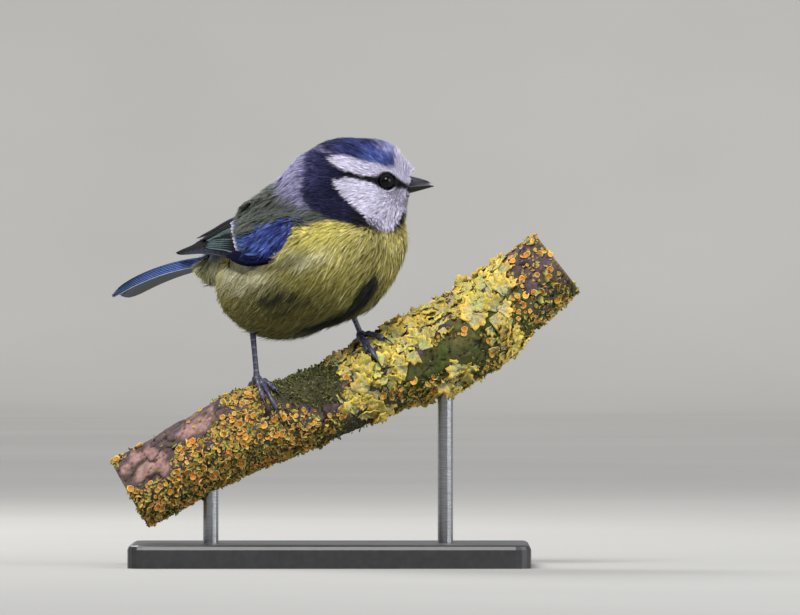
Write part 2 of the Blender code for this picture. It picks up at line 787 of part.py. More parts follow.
def build_stand_and_perch():
    perch = build_perch(random.Random(11))
    tree = tree_of(perch)
    base = build_base()
    for name, x in zip(("left", "right"), ROD_X):
        bottom, top = rod_ends(tree, x)
        hole = cylinder(x, ROD_RADIUS + GAP, bottom - GAP, top + GAP, "hole")
        spare = hole.copy()
        spare.data = hole.data.copy()
        bpy.context.scene.collection.objects.link(spare)
        difference(base, [hole])
        difference(perch, [spare])
        finish(cylinder(x, ROD_RADIUS, bottom, top, "rod"), "stand_rod_" + name, "rod_steel")
    finish(base, "stand_base", "stand_paint")
    return perch, tree


def cut_planes(cut):
    """The two sides of a thin cut: the plane that the node beyond it starts from and the other's."""
    at, beyond = Vector(cut[0]), Vector(cut[1]).normalized()
    half = 0.5 * GAP + 0.01
    return (at + beyond * half, -beyond), (at - beyond * half, beyond)


def build_body():
    """The head, neck, torso and tail coverts, parted, with room for the wings."""
    body = thin_out(whole_body(), BODY_TRIANGLES)
    difference(body, [wing_pocket(), mirrored(wing_pocket())])
    above_neck, below_head = cut_planes(HEAD_CUT)
    above_torso, below_neck = cut_planes(NECK_CUT)
    behind_torso, before_tail = cut_planes(TAIL_CUT)
    nodes = (
        slice_between(body, "head", [above_neck]),
        slice_between(body, "neck", [below_head, above_torso]),
        slice_between(body, "torso", [below_neck, before_tail]),
        slice_between(body, "coverts", [behind_torso]),
    )
    remove([body])
    return nodes


def build_face(head):
    """Lids, eyes and bill, with their sockets in the head."""
    eyes = {"left": eye_place(head, 1.0), "right": eye_place(head, -1.0)}
    union([head] + [lid_ring(*eye) for eye in eyes.values()])
    sockets = [bill_half(True, GAP), bill_half(False, GAP)]
    for centre, _ in eyes.values():
        sockets.append(ellipsoid(centre, [EYE_RADIUS + GAP] * 3, 0.0, "socket"))
    difference(head, sockets)
    for side, (centre, _) in eyes.items():
        eye = ellipsoid(centre, [EYE_RADIUS] * 3, 0.0, "eye")
        finish(place(eye, bird_matrix()), "eye_" + side, "eye_black")
    upper = difference(bill_half(True), [nostril(1.0), nostril(-1.0)])
    finish(place(upper, bird_matrix()), "bill_upper", "bill_horn", 50.0)
    finish(place(bill_half(False), bird_matrix()), "bill_lower", "bill_horn", 50.0)


def build():
    clear_scene()
    perch, tree = build_stand_and_perch()
    finish(perch, "perch", "bark", 30.0)
    head, neck, torso, coverts = build_body()
    build_face(head)
    tail = build_tail(coverts, random.Random(7))

    wing = build_wing(random.Random(5))
    other = mirrored(build_wing(random.Random(6)))
    finish(place(wing, bird_matrix()), "wing_left", "wing_blue", 30.0)
    finish(place(other, bird_matrix()), "wing_right", "wing_blue", 30.0)

    for side, leg in LEGS.items():
        foot, centre = build_foot(tree, leg)
        difference(torso, [place(build_leg(leg, centre, GAP), bird_matrix().inverted())])
        finish(build_leg(leg, centre), "leg_" + side, "leg_blue_grey")
        finish(foot, "foot_" + side, "leg_blue_grey", 50.0)

    for node, name, colour in (
        (head, "head", "blue_crown"),
        (neck, "neck", "green_back"),
        (torso, "torso", "yellow_breast"),
        (tail, "tail", "tail_blue"),
    ):
        finish(place(node, bird_matrix()), name, colour, 50.0)


build()
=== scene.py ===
# A blue tit at life size on a lichened branch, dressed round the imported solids.
# Shapes are worked out in millimetres and turned into metres when a piece is made.
# Bird axes: X forward, Y to the bird's left, Z up, from the middle of the trunk.
# Head axes: X towards the bill, Y to the left, Z up, from the middle of the head.
import math
import random
from itertools import product

import bmesh
import bpy
import numpy as np
from mathutils import Matrix, Vector, noise
from mathutils.bvhtree import BVHTree
from mathutils.kdtree import KDTree


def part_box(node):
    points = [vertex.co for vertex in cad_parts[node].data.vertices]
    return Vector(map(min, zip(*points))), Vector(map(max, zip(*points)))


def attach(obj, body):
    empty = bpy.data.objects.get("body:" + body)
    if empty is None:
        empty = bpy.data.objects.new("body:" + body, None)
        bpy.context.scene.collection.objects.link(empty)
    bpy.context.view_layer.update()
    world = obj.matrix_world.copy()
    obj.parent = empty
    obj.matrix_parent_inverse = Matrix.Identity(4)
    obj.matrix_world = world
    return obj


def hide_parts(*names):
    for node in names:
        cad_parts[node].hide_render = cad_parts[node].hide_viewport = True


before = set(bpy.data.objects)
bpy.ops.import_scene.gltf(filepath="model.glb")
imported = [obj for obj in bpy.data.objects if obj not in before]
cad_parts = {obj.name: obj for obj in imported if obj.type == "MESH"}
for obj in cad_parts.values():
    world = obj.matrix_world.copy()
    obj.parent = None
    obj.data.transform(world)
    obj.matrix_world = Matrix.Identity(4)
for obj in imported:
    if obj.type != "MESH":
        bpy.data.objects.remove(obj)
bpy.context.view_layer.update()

toMetres = Matrix.Scale(0.001, 4)

pose = {
    "birdAt": (-3.9, -1.3, 79.0),
    "birdTurn": -40.0,
    "headAt": (12.5, 0.0, 20.0),
    "headTurn": 40.0,
}
birdToWorld = Matrix.Translation(pose["birdAt"]) @ Matrix.Rotation(math.radians(pose["birdTurn"]), 4, "Z")
headToBird = Matrix.Translation(pose["headAt"]) @ Matrix.Rotation(math.radians(pose["headTurn"]), 4, "Z")
worldToBird = birdToWorld.inverted()
birdToHead = headToBird.inverted()
headToWorld = birdToWorld @ headToBird


# Numbers and points


def tone(red, green, blue):
    # a screen colour of 0 to 255 as the linear colour that shaders take
    shares = [value / 255.0 for value in (red, green, blue)]
    return tuple(v / 12.92 if v < 0.04045 else ((v + 0.055) / 1.055) ** 2.4 for v in shares)


def moved(matrix, points):
    m = np.array(matrix)
    return points @ m[:3, :3].T + m[:3, 3]


def turned(matrix, vectors):
    return vectors @ np.array(matrix)[:3, :3].T


def unit(vectors):
    return vectors / np.maximum(np.linalg.norm(vectors, axis=-1, keepdims=True), 1e-9)


def easeStep(low, high, values):
    share = np.clip((values - low) / (high - low), 0.0, 1.0)
    return share * share * (3.0 - 2.0 * share)


def smoothLine(points, share):
    # a Catmull-Rom curve through points of any number of coordinates
    spans = len(points) - 1
    place = min(max(share, 0.0), 1.0) * spans
    index = min(int(place), spans - 1)
    t = place - index
    p1, p2 = points[index], points[index + 1]
    p0 = points[index - 1] if index else [2 * a - b for a, b in zip(p1, p2)]
    p3 = points[index + 2] if index + 2 <= spans else [2 * b - a for a, b in zip(p1, p2)]
    return [
        b + 0.5 * t * (c - a + t * (2 * a - 5 * b + 4 * c - d + t * (3 * b - a - 3 * c + d)))
        for a, b, c, d in zip(p0, p1, p2, p3)
    ]


def insideOutline(x, z, outline, soft):
    # 1 inside a closed outline, 0 outside, easing over soft millimetres at its edge
    corners = np.array(outline)
    nearest = np.full(len(x), 1e9)
    within = np.zeros(len(x), bool)
    for (x0, z0), (x1, z1) in zip(corners, np.roll(corners, -1, axis=0)):
        dx, dz = x1 - x0, z1 - z0
        along = np.clip(((x - x0) * dx + (z - z0) * dz) / (dx * dx + dz * dz), 0.0, 1.0)
        nearest = np.minimum(nearest, np.hypot(x - x0 - along * dx, z - z0 - along * dz))
        if z0 != z1:
            crosses = (z0 > z) != (z1 > z)
            within ^= crosses & (x < (x1 - x0) * (z - z0) / (z1 - z0) + x0)
    return easeStep(-0.5 * soft, 0.5 * soft, np.where(within, nearest, -nearest))


def around(taken, home):
    # what has been put into a cell of a grid and into those beside it
    for i, j, k in product((-1, 0, 1), repeat=3):
        yield from taken.get((home[0] + i, home[1] + j, home[2] + k), ())


# Objects and materials


def linked(name, data):
    made = bpy.data.objects.new(name, data)
    bpy.context.scene.collection.objects.link(made)
    return made


def meshPiece(name, bm, toWorld=None, smooth=True):
    # a finished bmesh in millimetres becomes a piece in metres
    if toWorld is not None:
        bmesh.ops.transform(bm, matrix=toWorld, verts=bm.verts)
    bmesh.ops.transform(bm, matrix=toMetres, verts=bm.verts)
    mesh = bpy.data.meshes.new(name)
    for face in bm.faces:
        face.smooth = smooth
    bm.to_mesh(mesh)
    bm.free()
    return linked(name, mesh)


def addModifier(piece, name, kind, **fields):
    made = piece.modifiers.new(name, kind)
    for field, value in fields.items():
        setattr(made, field, value)


def faceUp(bm):
    # an open shape's faces look upwards on the whole
    if sum(face.normal.z * face.calc_area() for face in bm.faces) < 0.0:
        bmesh.ops.reverse_faces(bm, faces=bm.faces)


def arraysOf(bm):
    # the points and faces of a finished bmesh
    bm.verts.index_update()
    points = np.array([v.co[:] for v in bm.verts])
    faces = np.array([[v.index for v in face.verts] for face in bm.faces])
    bm.free()
    return points, faces


def meshArray(collection, field, size):
    values = np.empty(len(collection) * size, np.float32)
    collection.foreach_get(field, values)
    return values.reshape(-1, size).astype(float)


def pointsOf(piece):
    # in millimetres
    return meshArray(piece.data.vertices, "co", 3) * 1000.0


def treeOf(mesh):
    return BVHTree.FromPolygons([v.co * 1000.0 for v in mesh.vertices], [p.vertices[:] for p in mesh.polygons])


def arrayPiece(name, points, triangles, colours=None, patches=None):
    # many small copies of one shape, joined as one mesh from arrays
    mesh = bpy.data.meshes.new(name)
    count = len(triangles)
    mesh.vertices.add(len(points))
    mesh.vertices.foreach_set("co", (points * 0.001).astype(np.float32).ravel())
    mesh.loops.add(3 * count)
    mesh.loops.foreach_set("vertex_index", triangles.astype(np.int32).ravel())
    mesh.polygons.add(count)
    mesh.polygons.foreach_set("loop_start", np.arange(0, 3 * count, 3, dtype=np.int32))
    mesh.polygons.foreach_set("use_smooth", np.ones(count, bool))
    mesh.update(calc_edges=True)
    if colours is not None:
        paint(mesh, colours)
    if patches is not None:
        layer = mesh.uv_layers.new(name="OFBake")
        layer.data.foreach_set("uv", patches[triangles.ravel()].astype(np.float32).ravel())
    mesh.validate()
    return linked(name, mesh)


def paint(mesh, colours, name="tint"):
    layer = mesh.color_attributes.new(name, "FLOAT_COLOR", "POINT")
    full = np.ones((len(mesh.vertices), 4), np.float32)
    full[:, :3] = colours
    layer.data.foreach_set("color", full.ravel())


def addNode(tree, kind, sockets=None, **fields):
    made = tree.nodes.new(kind)
    for field, value in fields.items():
        setattr(made, field, value)
    for socket, value in (sockets or {}).items():
        if isinstance(value, bpy.types.NodeSocket):
            tree.links.new(value, made.inputs[socket])
        else:
            made.inputs[socket].default_value = value
    return made


def newMaterial(name, **sockets):
    made = bpy.data.materials.new(name)
    made.use_nodes = True
    shader = made.node_tree.nodes["Principled BSDF"]
    for socket, value in sockets.items():
        shader.inputs[socket.replace("_", " ")].default_value = value
    return made, made.node_tree, shader


def objectPoints(tree):
    return addNode(tree, "ShaderNodeTexCoord").outputs["Object"]


def ramp(tree, factor, stops):
    made = addNode(tree, "ShaderNodeValToRGB", {"Fac": factor})
    points = made.color_ramp.elements
    while len(points) < len(stops):
        points.new(0.5)
    for point, (place, colour) in zip(points, stops):
        point.position = place
        point.color = (*colour[:3], 1.0)
    return made.outputs["Color"]


def blended(tree, factor, first, second, how="MIX"):
    made = tree.nodes.new("ShaderNodeMix")
    made.data_type = "RGBA"
    made.blend_type = how
    for socket, value in ((made.inputs[0], factor), (made.inputs[6], first), (made.inputs[7], second)):
        if isinstance(value, bpy.types.NodeSocket):
            tree.links.new(value, socket)
        elif isinstance(value, tuple):
            socket.default_value = (*value[:3], 1.0)
        else:
            socket.default_value = value
    return made.outputs[2]


def bumped(tree, shader, height, distance, strength=1.0):
    bump = addNode(tree, "ShaderNodeBump", {"Height": height, "Distance": distance, "Strength": strength})
    tree.links.new(bump.outputs["Normal"], shader.inputs["Normal"])


def noiseOf(tree, where, scale, detail=3.0, roughness=0.55):
    settings = {"Vector": where, "Scale": scale, "Detail": detail, "Roughness": roughness}
    return addNode(tree, "ShaderNodeTexNoise", settings).outputs["Fac"]


def coloured(tree, shader, factor, stops, tinted=False, share=1.0):
    # a ramp of tones, or one that darkens and lightens the piece's own tint
    made = ramp(tree, factor, stops)
    if tinted:
        tint = addNode(tree, "ShaderNodeAttribute", attribute_name="tint").outputs["Color"]
        made = blended(tree, share, tint, made, "MULTIPLY")
    tree.links.new(made, shader.inputs["Base Color"])


def grainMaterial(name, grain, stops, bump=None, stretch=None, tinted=False, **sockets):
    # grain is the noise's scale, detail and roughness; bump is its distance and strength
    made, tree, shader = newMaterial(name, **sockets)
    where = objectPoints(tree)
    if stretch is not None:
        where = addNode(tree, "ShaderNodeMapping", {"Vector": where, "Scale": stretch}).outputs["Vector"]
    fine = noiseOf(tree, where, *grain)
    coloured(tree, shader, fine, stops, tinted)
    if bump is not None:
        bumped(tree, shader, fine, *bump)
    return made


def dress(piece, material, slotName, *nodes):
    piece.data.materials.clear()
    piece.data.materials.append(material)
    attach(piece, "root")
    if nodes:
        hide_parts(*nodes)
    return piece


# Camera, floor and light

view = {
    "aim": (18.2, 0.0, 67.2),  # the middle of the photograph, in millimetres
    "away": 2889.0,
    "lens": 500.0,
    "sensor": 36.0,
    "clip": (0.05, 20.0),
    "floorRadius": 4200.0,
    "sweep": 700.0,
    "wallHigh": 1500.0,
    "sweepSteps": 12,
    "floorSteps": 96,
    "skyColour": (0.86, 0.90, 1.0, 1.0),
    "skyStrength": 0.34,
}
# where the sun stands, how soft it is in degrees, its power and its colour
sun = {"keyLight": ((-0.16, -0.62, 0.77), 26.0, 3.3, (1.0, 0.99, 0.97))}
# each lamp's place and size in millimetres, its power and its colour
lamps = {
    "fillLight": ((760.0, -420.0, 380.0), 700.0, 6.0, (0.96, 0.98, 1.0)),
    "backLight": ((-380.0, 560.0, 640.0), 420.0, 6.0, (1.0, 1.0, 1.0)),
}
lampTarget = Vector((5.0, 0.0, 75.0))


def makeCamera():
    camera = linked("camera", bpy.data.cameras.new("camera"))
    camera.data.lens = view["lens"]
    camera.data.sensor_width = view["sensor"]
    camera.data.clip_start, camera.data.clip_end = view["clip"]
    x, y, z = view["aim"]
    camera.location = Vector((x, y - view["away"], z)) * 0.001
    camera.rotation_euler = (math.radians(90.0), 0.0, 0.0)
    bpy.context.scene.camera = camera


def makeFloor():
    # a round pale floor whose rim sweeps up into a low wall, out past the camera
    bm = bmesh.new()
    reach, radius = view["floorRadius"], view["sweep"]
    path = [(0.0, 0.0), (0.25 * reach, 0.0), (reach, 0.0)]
    for step in range(1, view["sweepSteps"] + 1):
        turn = math.radians(90.0 / view["sweepSteps"] * step)
        path.append((reach + radius * math.sin(turn), radius * (1.0 - math.cos(turn))))
    path.append((reach + radius, view["wallHigh"]))
    line = [bm.verts.new((x, 0.0, z)) for x, z in path]
    edges = [bm.edges.new(pair) for pair in zip(line, line[1:])]
    turning = {"cent": (0.0, 0.0, 0.0), "axis": (0.0, 0.0, 1.0), "angle": math.tau, "steps": view["floorSteps"]}
    bmesh.ops.spin(bm, geom=line + edges, use_merge=True, **turning)
    bmesh.ops.remove_doubles(bm, verts=bm.verts, dist=0.01)
    bmesh.ops.recalc_face_normals(bm, faces=bm.faces)
    faceUp(bm)
    floor = meshPiece("floor", bm)
    shades = ((0.3, tone(160, 159, 156)), (0.7, tone(166, 165, 162)))
    floor.data.materials.append(grainMaterial("floorPaper", (3.0,), shades, Roughness=0.85, Specular_IOR_Level=0.2))


def makeSun(name, toward, soft, power, colour):
    light = bpy.data.lights.new(name, "SUN")
    light.energy, light.color, light.angle = power, colour, math.radians(soft)
    linked(name, light).rotation_euler = Vector(toward).to_track_quat("Z", "Y").to_euler()


def makeLamp(name, at, size, power, colour):
    light = bpy.data.lights.new(name, "AREA")
    light.shape, light.size, light.energy, light.color = "DISK", size * 0.001, power, colour
    made = linked(name, light)
    made.location = Vector(at) * 0.001
    made.rotation_mode = "QUATERNION"
    made.rotation_quaternion = (lampTarget - Vector(at)).to_track_quat("-Z", "Y")


def makeStudio():
    makeCamera()
    makeFloor()
    for name, settings in sun.items():
        makeSun(name, *settings)
    for name, settings in lamps.items():
        makeLamp(name, *settings)
    world = bpy.data.worlds.new("studio")
    bpy.context.scene.world = world
    world.use_nodes = True
    sky = world.node_tree.nodes["Background"].inputs
    sky["Color"].default_value = view["skyColour"]
    sky["Strength"].default_value = view["skyStrength"]
    bpy.context.scene.view_settings.view_transform = "Standard"


makeStudio()
print("studio: camera, floor and lights")


# Plumage colours and where they lie

plumage = {
    "cap": tone(52, 60, 122),
    "capDark": tone(28, 32, 74),
    "capRear": tone(58, 56, 96),
    "capFront": tone(78, 100, 180),
    # partly the cap's own pale front, partly painted sky highlight on the crown
    "frostAndSkySheen": tone(164, 164, 208),
    "white": tone(216, 211, 232),
    "browRear": tone(146, 138, 182),
    "collar": tone(26, 27, 62),
    "collarPale": tone(62, 62, 110),
    "bib": tone(18, 17, 28),
    "line": tone(12, 11, 16),
    "nape": tone(150, 146, 186),
    "mantle": tone(88, 94, 86),
    "rump": tone(96, 108, 110),
    "yellow": tone(206, 194, 92),
    "yellowDeep": tone(168, 157, 72),
    "olive": tone(128, 121, 52),
    # the underside's darkest olive: partly its own colour, partly painted shade under the body
    "shade": tone(104, 100, 44),
    # painted shade low on the flanks, under the body
    "lowerFlankShade": tone(46, 47, 32),
    "breastPale": tone(164, 156, 102),
    # painted shade in the crease where the wing's upper edge meets the mantle
    "scapularCreaseShade": tone(70, 72, 70),
    "flankPale": tone(222, 220, 184),
    "vent": tone(176, 176, 128),
    "belly": tone(20, 22, 28),
}
# outlines of the head's markings in the head's own X and Z, the same on both sides
headMarks = {
    "brow": (
        (-6.2, 6.3), (-5.1, 7.1), (-3.3, 7.6), (-0.9, 7.4), (1.0, 6.8), (3.4, 6.2), (6.3, 6.0), (8.2, 5.3),
        (9.6, 4.9), (10.8, 5.2), (10.6, 6.4), (10.8, 8.3), (11.5, 10.7), (17.8, 12.6), (18.5, 2.1), (16.3, 0.5),
        (14.9, 0.1), (13.2, 0.6), (12.0, 1.5), (10.8, 2.5), (8.9, 2.8), (7.0, 2.2), (4.4, 2.1), (2.0, 2.2),
        (0.0, 3.0), (-1.9, 3.4), (-3.8, 4.6), (-5.2, 5.5),
    ),
    "browRear": (
        (-10.0, 9.7), (-7.9, 10.2), (-6.0, 9.6), (-3.3, 7.9), (-5.0, 7.1), (-7.2, 8.2), (-8.8, 8.5),
    ),
    "cap": (
        (-7.7, 11.4), (-7.3, 10.3), (-6.0, 9.0), (-4.8, 8.0), (-3.1, 7.6), (-0.9, 7.4), (1.0, 6.6), (3.4, 5.9),
        (6.3, 5.6), (8.2, 5.0), (9.6, 4.5), (10.9, 4.9), (10.7, 5.9), (10.8, 8.3), (11.8, 11.2), (11.8, 14.0),
        (-7.7, 14.0),
    ),
    "mask": (
        (-2.8, 3.5), (-0.4, 3.2), (1.0, 2.6), (2.2, 2.1), (4.1, 2.1), (5.5, 1.8), (6.7, 1.6), (7.4, 2.2),
        (8.7, 2.7), (10.6, 2.7), (11.6, 2.0), (12.8, 1.0), (13.9, 0.2), (15.1, -0.1), (18.5, 0.1), (18.5, -2.3),
        (15.3, -2.4), (14.4, -1.4), (13.7, -0.9), (12.0, -0.8), (10.1, -1.2), (8.7, -1.1), (7.0, -0.4), (5.3, 0.4),
        (3.2, 1.0), (1.0, 1.4), (-1.4, 1.8), (-2.8, 2.0),
    ),
    "cheek": (
        (-4.5, 0.8), (-4.1, 1.1), (-3.3, 1.6), (-0.9, 1.9), (1.0, 1.4), (3.2, 1.0), (5.3, 0.3), (7.0, -0.5),
        (8.7, -1.2), (10.1, -1.3), (12.0, -1.0), (13.7, -1.1), (14.8, -2.0), (16.1, -3.2), (15.4, -5.4),
        (14.7, -6.8), (13.5, -7.5), (12.9, -8.6), (12.0, -10.0), (10.9, -11.4), (10.1, -12.1), (8.7, -12.4),
        (7.2, -12.0), (5.8, -10.9), (4.8, -10.4), (3.2, -8.5), (1.0, -6.1), (-0.7, -4.4), (-2.8, -2.3),
        (-4.2, -0.3),
    ),
    "collar": (
        (-11.1, 11.5), (-11.9, 7.6), (-12.4, 4.0), (-13.0, 0.1), (-13.4, -3.2), (-11.9, -5.6), (-9.8, -6.8),
        (-8.0, -7.7), (-6.2, -9.2), (-3.8, -9.7), (-0.9, -10.1), (1.0, -10.5), (1.6, -11.1), (3.2, -10.9),
        (4.8, -11.2), (6.7, -12.1), (8.2, -12.6), (10.3, -12.6), (12.1, -11.5), (13.6, -9.6), (14.4, -7.4),
        (22.6, -6.1), (22.6, 14.0), (-5.0, 17.9),
    ),
    "nape": (
        (-11.4, 10.4), (-15.3, 7.6), (-18.4, 4.2), (-19.4, 1.7), (-18.4, -1.2), (-16.1, -3.7),
        (-13.5, -5.4), (-11.0, -5.9), (-10.4, 9.8),
    ),
}


def mixInto(colours, colour, share):
    return colours + (np.array(colour) - colours) * share[:, None]


def layered(colours, *layers):
    # each layer is a colour and its share at every point
    for colour, share in layers:
        colours = mixInto(colours, colour, share)
    return colours


def blob(a, b, c, middle, reach):
    # 1 at a middle, fading over its reach along each axis
    gaps = [(value - at) / far for value, at, far in zip((a, b, c), middle, reach)]
    return np.exp(-sum(gap**2 for gap in gaps))


def bodyColours(a, b, c, patch, streak):
    side = np.abs(b)
    colours = np.tile(plumage["yellow"], (len(a), 1))
    # the yellow darkens towards the bottom: partly the lower breast's own olive, partly painted shade under the body
    colours = layered(
        colours,
        (plumage["yellowDeep"], easeStep(8.0, -2.0, c + 2.0 * patch)),
        (plumage["olive"], easeStep(-1.0, -9.0, c + 2.0 * patch)),
        (plumage["shade"], easeStep(-9.0, -15.0, c + 2.0 * patch)),
        (plumage["olive"], easeStep(0.05, 0.5, streak) * easeStep(9.0, -4.0, c) * 0.55),
    )
    front = blob(a, b * 0.0, c, (25.0, 0.0, 4.0), (5.0, 1.0, 8.0))
    colours = mixInto(colours, plumage["breastPale"], front * 0.5)
    flank = blob(a, side, c, (-10.0, 17.5, -3.2), (9.5, 6.0, 3.8))
    flank = np.maximum(flank, 0.6 * blob(a, side, c, (8.0, 16.5, 0.8), (10.0, 5.0, 2.6)))
    colours = mixInto(colours, plumage["flankPale"], np.clip(flank * (1.0 + 0.9 * streak), 0.0, 1.0))
    # painted shade low on the flanks, under the body
    lowerFlankShade = blob(a, side, c, (1.5, 14.5, -9.8), (8.5, 6.0, 3.6))
    colours = layered(
        colours,
        (plumage["lowerFlankShade"], np.clip(lowerFlankShade * (1.0 - 1.1 * streak), 0.0, 1.0) * 0.95),
        (plumage["vent"], easeStep(-20.0, -27.0, a) * 0.9),
    )
    leaning = np.interp(c, (-16.0, -12.0, -2.0), (-0.8, -2.4, -3.2))
    wide = np.interp(c, (-16.0, -11.0, -5.0, -1.5), (2.6, 2.2, 1.5, 0.3))
    stripe = easeStep(1.1, -0.5, np.abs(b - leaning) - wide + 0.6 * patch)
    stripe = stripe * easeStep(-0.5, -3.0, c) * easeStep(-8.0, 2.0, a)
    colours = mixInto(colours, plumage["belly"], stripe * 0.95)
    edgeFrom = (-45.0, -28.0, -20.0, -10.0, 0.0, 10.0, 17.0, 24.0)
    edge = np.interp(a, edgeFrom, (-2.2, -0.5, 2.5, 4.0, 6.5, 9.0, 11.6, 14.2))
    upper = easeStep(-0.8, 0.8, c - edge + 1.2 * patch)
    back = np.tile(plumage["mantle"], (len(a), 1))
    back = layered(
        back,
        # painted shade in the crease over the wing's upper edge
        (plumage["scapularCreaseShade"], blob(a, side, c, (2.0, 14.0, 12.0), (8.0, 4.0, 4.0)) * 0.6),
        (plumage["rump"], easeStep(-14.0, -26.0, a)),
    )
    return colours + (back - colours) * upper[:, None], upper


def plumageAt(points):
    # the coat's colour at points in bird axes
    patch = np.array([noise.noise(Vector(p) * 0.16) for p in points])
    streak = np.array([noise.noise(Vector((p[0] * 0.25, p[1] * 0.9, p[2] * 0.9))) for p in points])
    colours, upper = bodyColours(*points.T, patch, streak)
    # the head's masks, with ragged edges
    x, y, z = moved(birdToHead, points).T
    ragged = np.array([noise.noise(Vector(p) * 0.9) for p in points])
    x, z = x + 0.6 * ragged, z - 0.4 * ragged
    nape = insideOutline(x, z, headMarks["nape"], 4.5)
    colours = mixInto(colours, plumage["nape"], nape * upper)
    collar = insideOutline(x, z, headMarks["collar"], 1.2)
    dark = np.tile(plumage["collar"], (len(points), 1))
    dark = layered(
        dark,
        (plumage["collarPale"], easeStep(-4.0, -12.0, x) * easeStep(-6.0, 2.0, z) * (0.75 + 0.5 * streak)),
        (plumage["bib"], easeStep(-3.0, 3.0, x) * easeStep(-4.0, -9.0, z)),
        (plumage["bib"], easeStep(2.0, 12.0, x) * easeStep(1.0, -3.0, z)),
    )
    colours += (dark - colours) * collar[:, None]
    front = easeStep(-14.0, -13.0, x)
    rear = insideOutline(x, z, headMarks["browRear"], 1.2) * front * np.clip(0.55 + 1.2 * streak, 0.0, 1.0)
    colours = layered(
        colours,
        (plumage["browRear"], rear),
        (plumage["white"], insideOutline(x, z, headMarks["brow"], 0.9) * front),
    )
    cap = np.tile(plumage["cap"], (len(points), 1))
    cap = layered(
        cap,
        (plumage["capDark"], np.clip(0.35 - 1.4 * streak, 0.0, 1.0) * easeStep(9.0, 3.0, x)),
        (plumage["capRear"], easeStep(-1.0, -6.0, x) * 0.7),
        (plumage["capFront"], np.clip(0.8 + streak, 0.0, 1.0) * easeStep(0.0, 5.0, x) * easeStep(10.5, 7.5, z)),
    )
    # the cap's top front pales towards lilac: partly its own pale front, partly painted sky highlight along the crown
    frostAndSkySheen = easeStep(5.0, 11.5, x + 0.5 * (z - 9.0)) * easeStep(6.5, 9.5, z)
    cap = mixInto(cap, plumage["frostAndSkySheen"], np.clip(frostAndSkySheen * (1.0 + ragged), 0.0, 1.0))
    colours += (cap - colours) * insideOutline(x, z, headMarks["cap"], 1.6)[:, None]
    colours = mixInto(colours, plumage["line"], insideOutline(x, z, headMarks["mask"], 0.5) * (np.abs(y) > 1.2))
    chin = np.where(x > 7.0, easeStep(1.0, 2.0, np.abs(y)), 1.0)
    colours = mixInto(colours, plumage["white"], insideOutline(x, z, headMarks["cheek"], 0.6) * chin)
    return np.clip(colours, 0.0, 1.0)


# Wings as surfaces: the front and lower edge and the upper edge, from the wrist to the tip

wing = {
    "lower": (
        (13.0, 16.6, 4.2), (5.5, 18.8, 0.4), (-5.5, 19.2, -1.1), (-17.0, 16.2, 0.8),
        (-30.6, 8.9, 1.3), (-45.6, 3.9, 0.2),
    ),
    "upper": (
        (12.6, 15.2, 8.2), (5.0, 13.9, 11.4), (-6.5, 13.0, 12.2), (-18.5, 9.3, 10.0),
        (-31.6, 4.9, 6.0), (-45.2, 3.3, 1.4),
    ),
    "bulge": 1.5,
    "long": 60.0,
}


def wingPoint(s, t):
    low, high = Vector(smoothLine(wing["lower"], s)), Vector(smoothLine(wing["upper"], s))
    swell = wing["bulge"] * (1.0 - s) * 4.0 * t * (1.0 - t)
    return low.lerp(high, t) + Vector((0.0, swell, 0.25 * swell))


def wingSurface(s, t):
    # a point of the left wing, its outward and its lengthwise direction
    inner = min(max(s, 0.0), 0.985)
    at = wingPoint(inner, t)
    ahead = wingPoint(inner + 0.01, t) - wingPoint(max(inner - 0.01, 0.0), t)
    above = wingPoint(inner, t + 0.01) - wingPoint(inner, t - 0.01)
    ahead.normalize()
    return at + ahead * (wing["long"] * (s - inner)), ahead.cross(above).normalized(), ahead


wingShares = [(s / 60.0, t / 24.0) for s in range(61) for t in range(25)]
wingTree = KDTree(len(wingShares))
for place, (s, t) in enumerate(wingShares):
    at, out, ahead = wingSurface(s, t)
    wingTree.insert(at + out * 0.9, place)
wingTree.balance()


def wingPlaces(points):
    # for points in bird axes: shares along and up the nearer wing and the distance from it
    found = [wingTree.find((p[0], abs(p[1]), p[2])) for p in points]
    shares = np.array([wingShares[index] for _, index, _ in found])
    return shares[:, 0], shares[:, 1], np.array([gap for _, _, gap in found])


def wingShown(s, t, gap):
    # 1 where the wing is bare of the body's plumage, 0 where mantle or breast feathers cover it
    along = (0.0, 0.175, 0.27, 0.37, 0.495, 0.53, 0.575, 0.61)
    top = np.interp(s, along, (0.9, 0.87, 0.78, 0.6, 0.5, 0.62, 0.78, 1.2))
    start = np.interp(t, (0.0, 0.03, 0.09, 0.23, 0.46, 0.86), (0.36, 0.315, 0.225, 0.16, 0.09, 0.07))
    return (t < top) & (s > start) & (gap < 4.0) & ((t > 0.01) | (gap < 2.2)) & ((t < 0.99) | (gap < 2.2))


# The skin: one closed surface over head, neck, trunk and tail root, with the wings' backs in it

skinSize = {
    "closing": 0.0006,
    "voxel": 0.00065,
    "coatDepth": 0.0009,
    "softening": 5,
    "softeningAgain": 3,
    "unwrapAngle": 66.0,
    "unwrapMargin": 0.004,
    "tailEnd": -40.5,
    "wingEnd": -22.0,
    "wingRise": 1.25,
    # how dark the skin is painted: painted shade in the gaps between tufts
    "gapShade": 0.55,
}


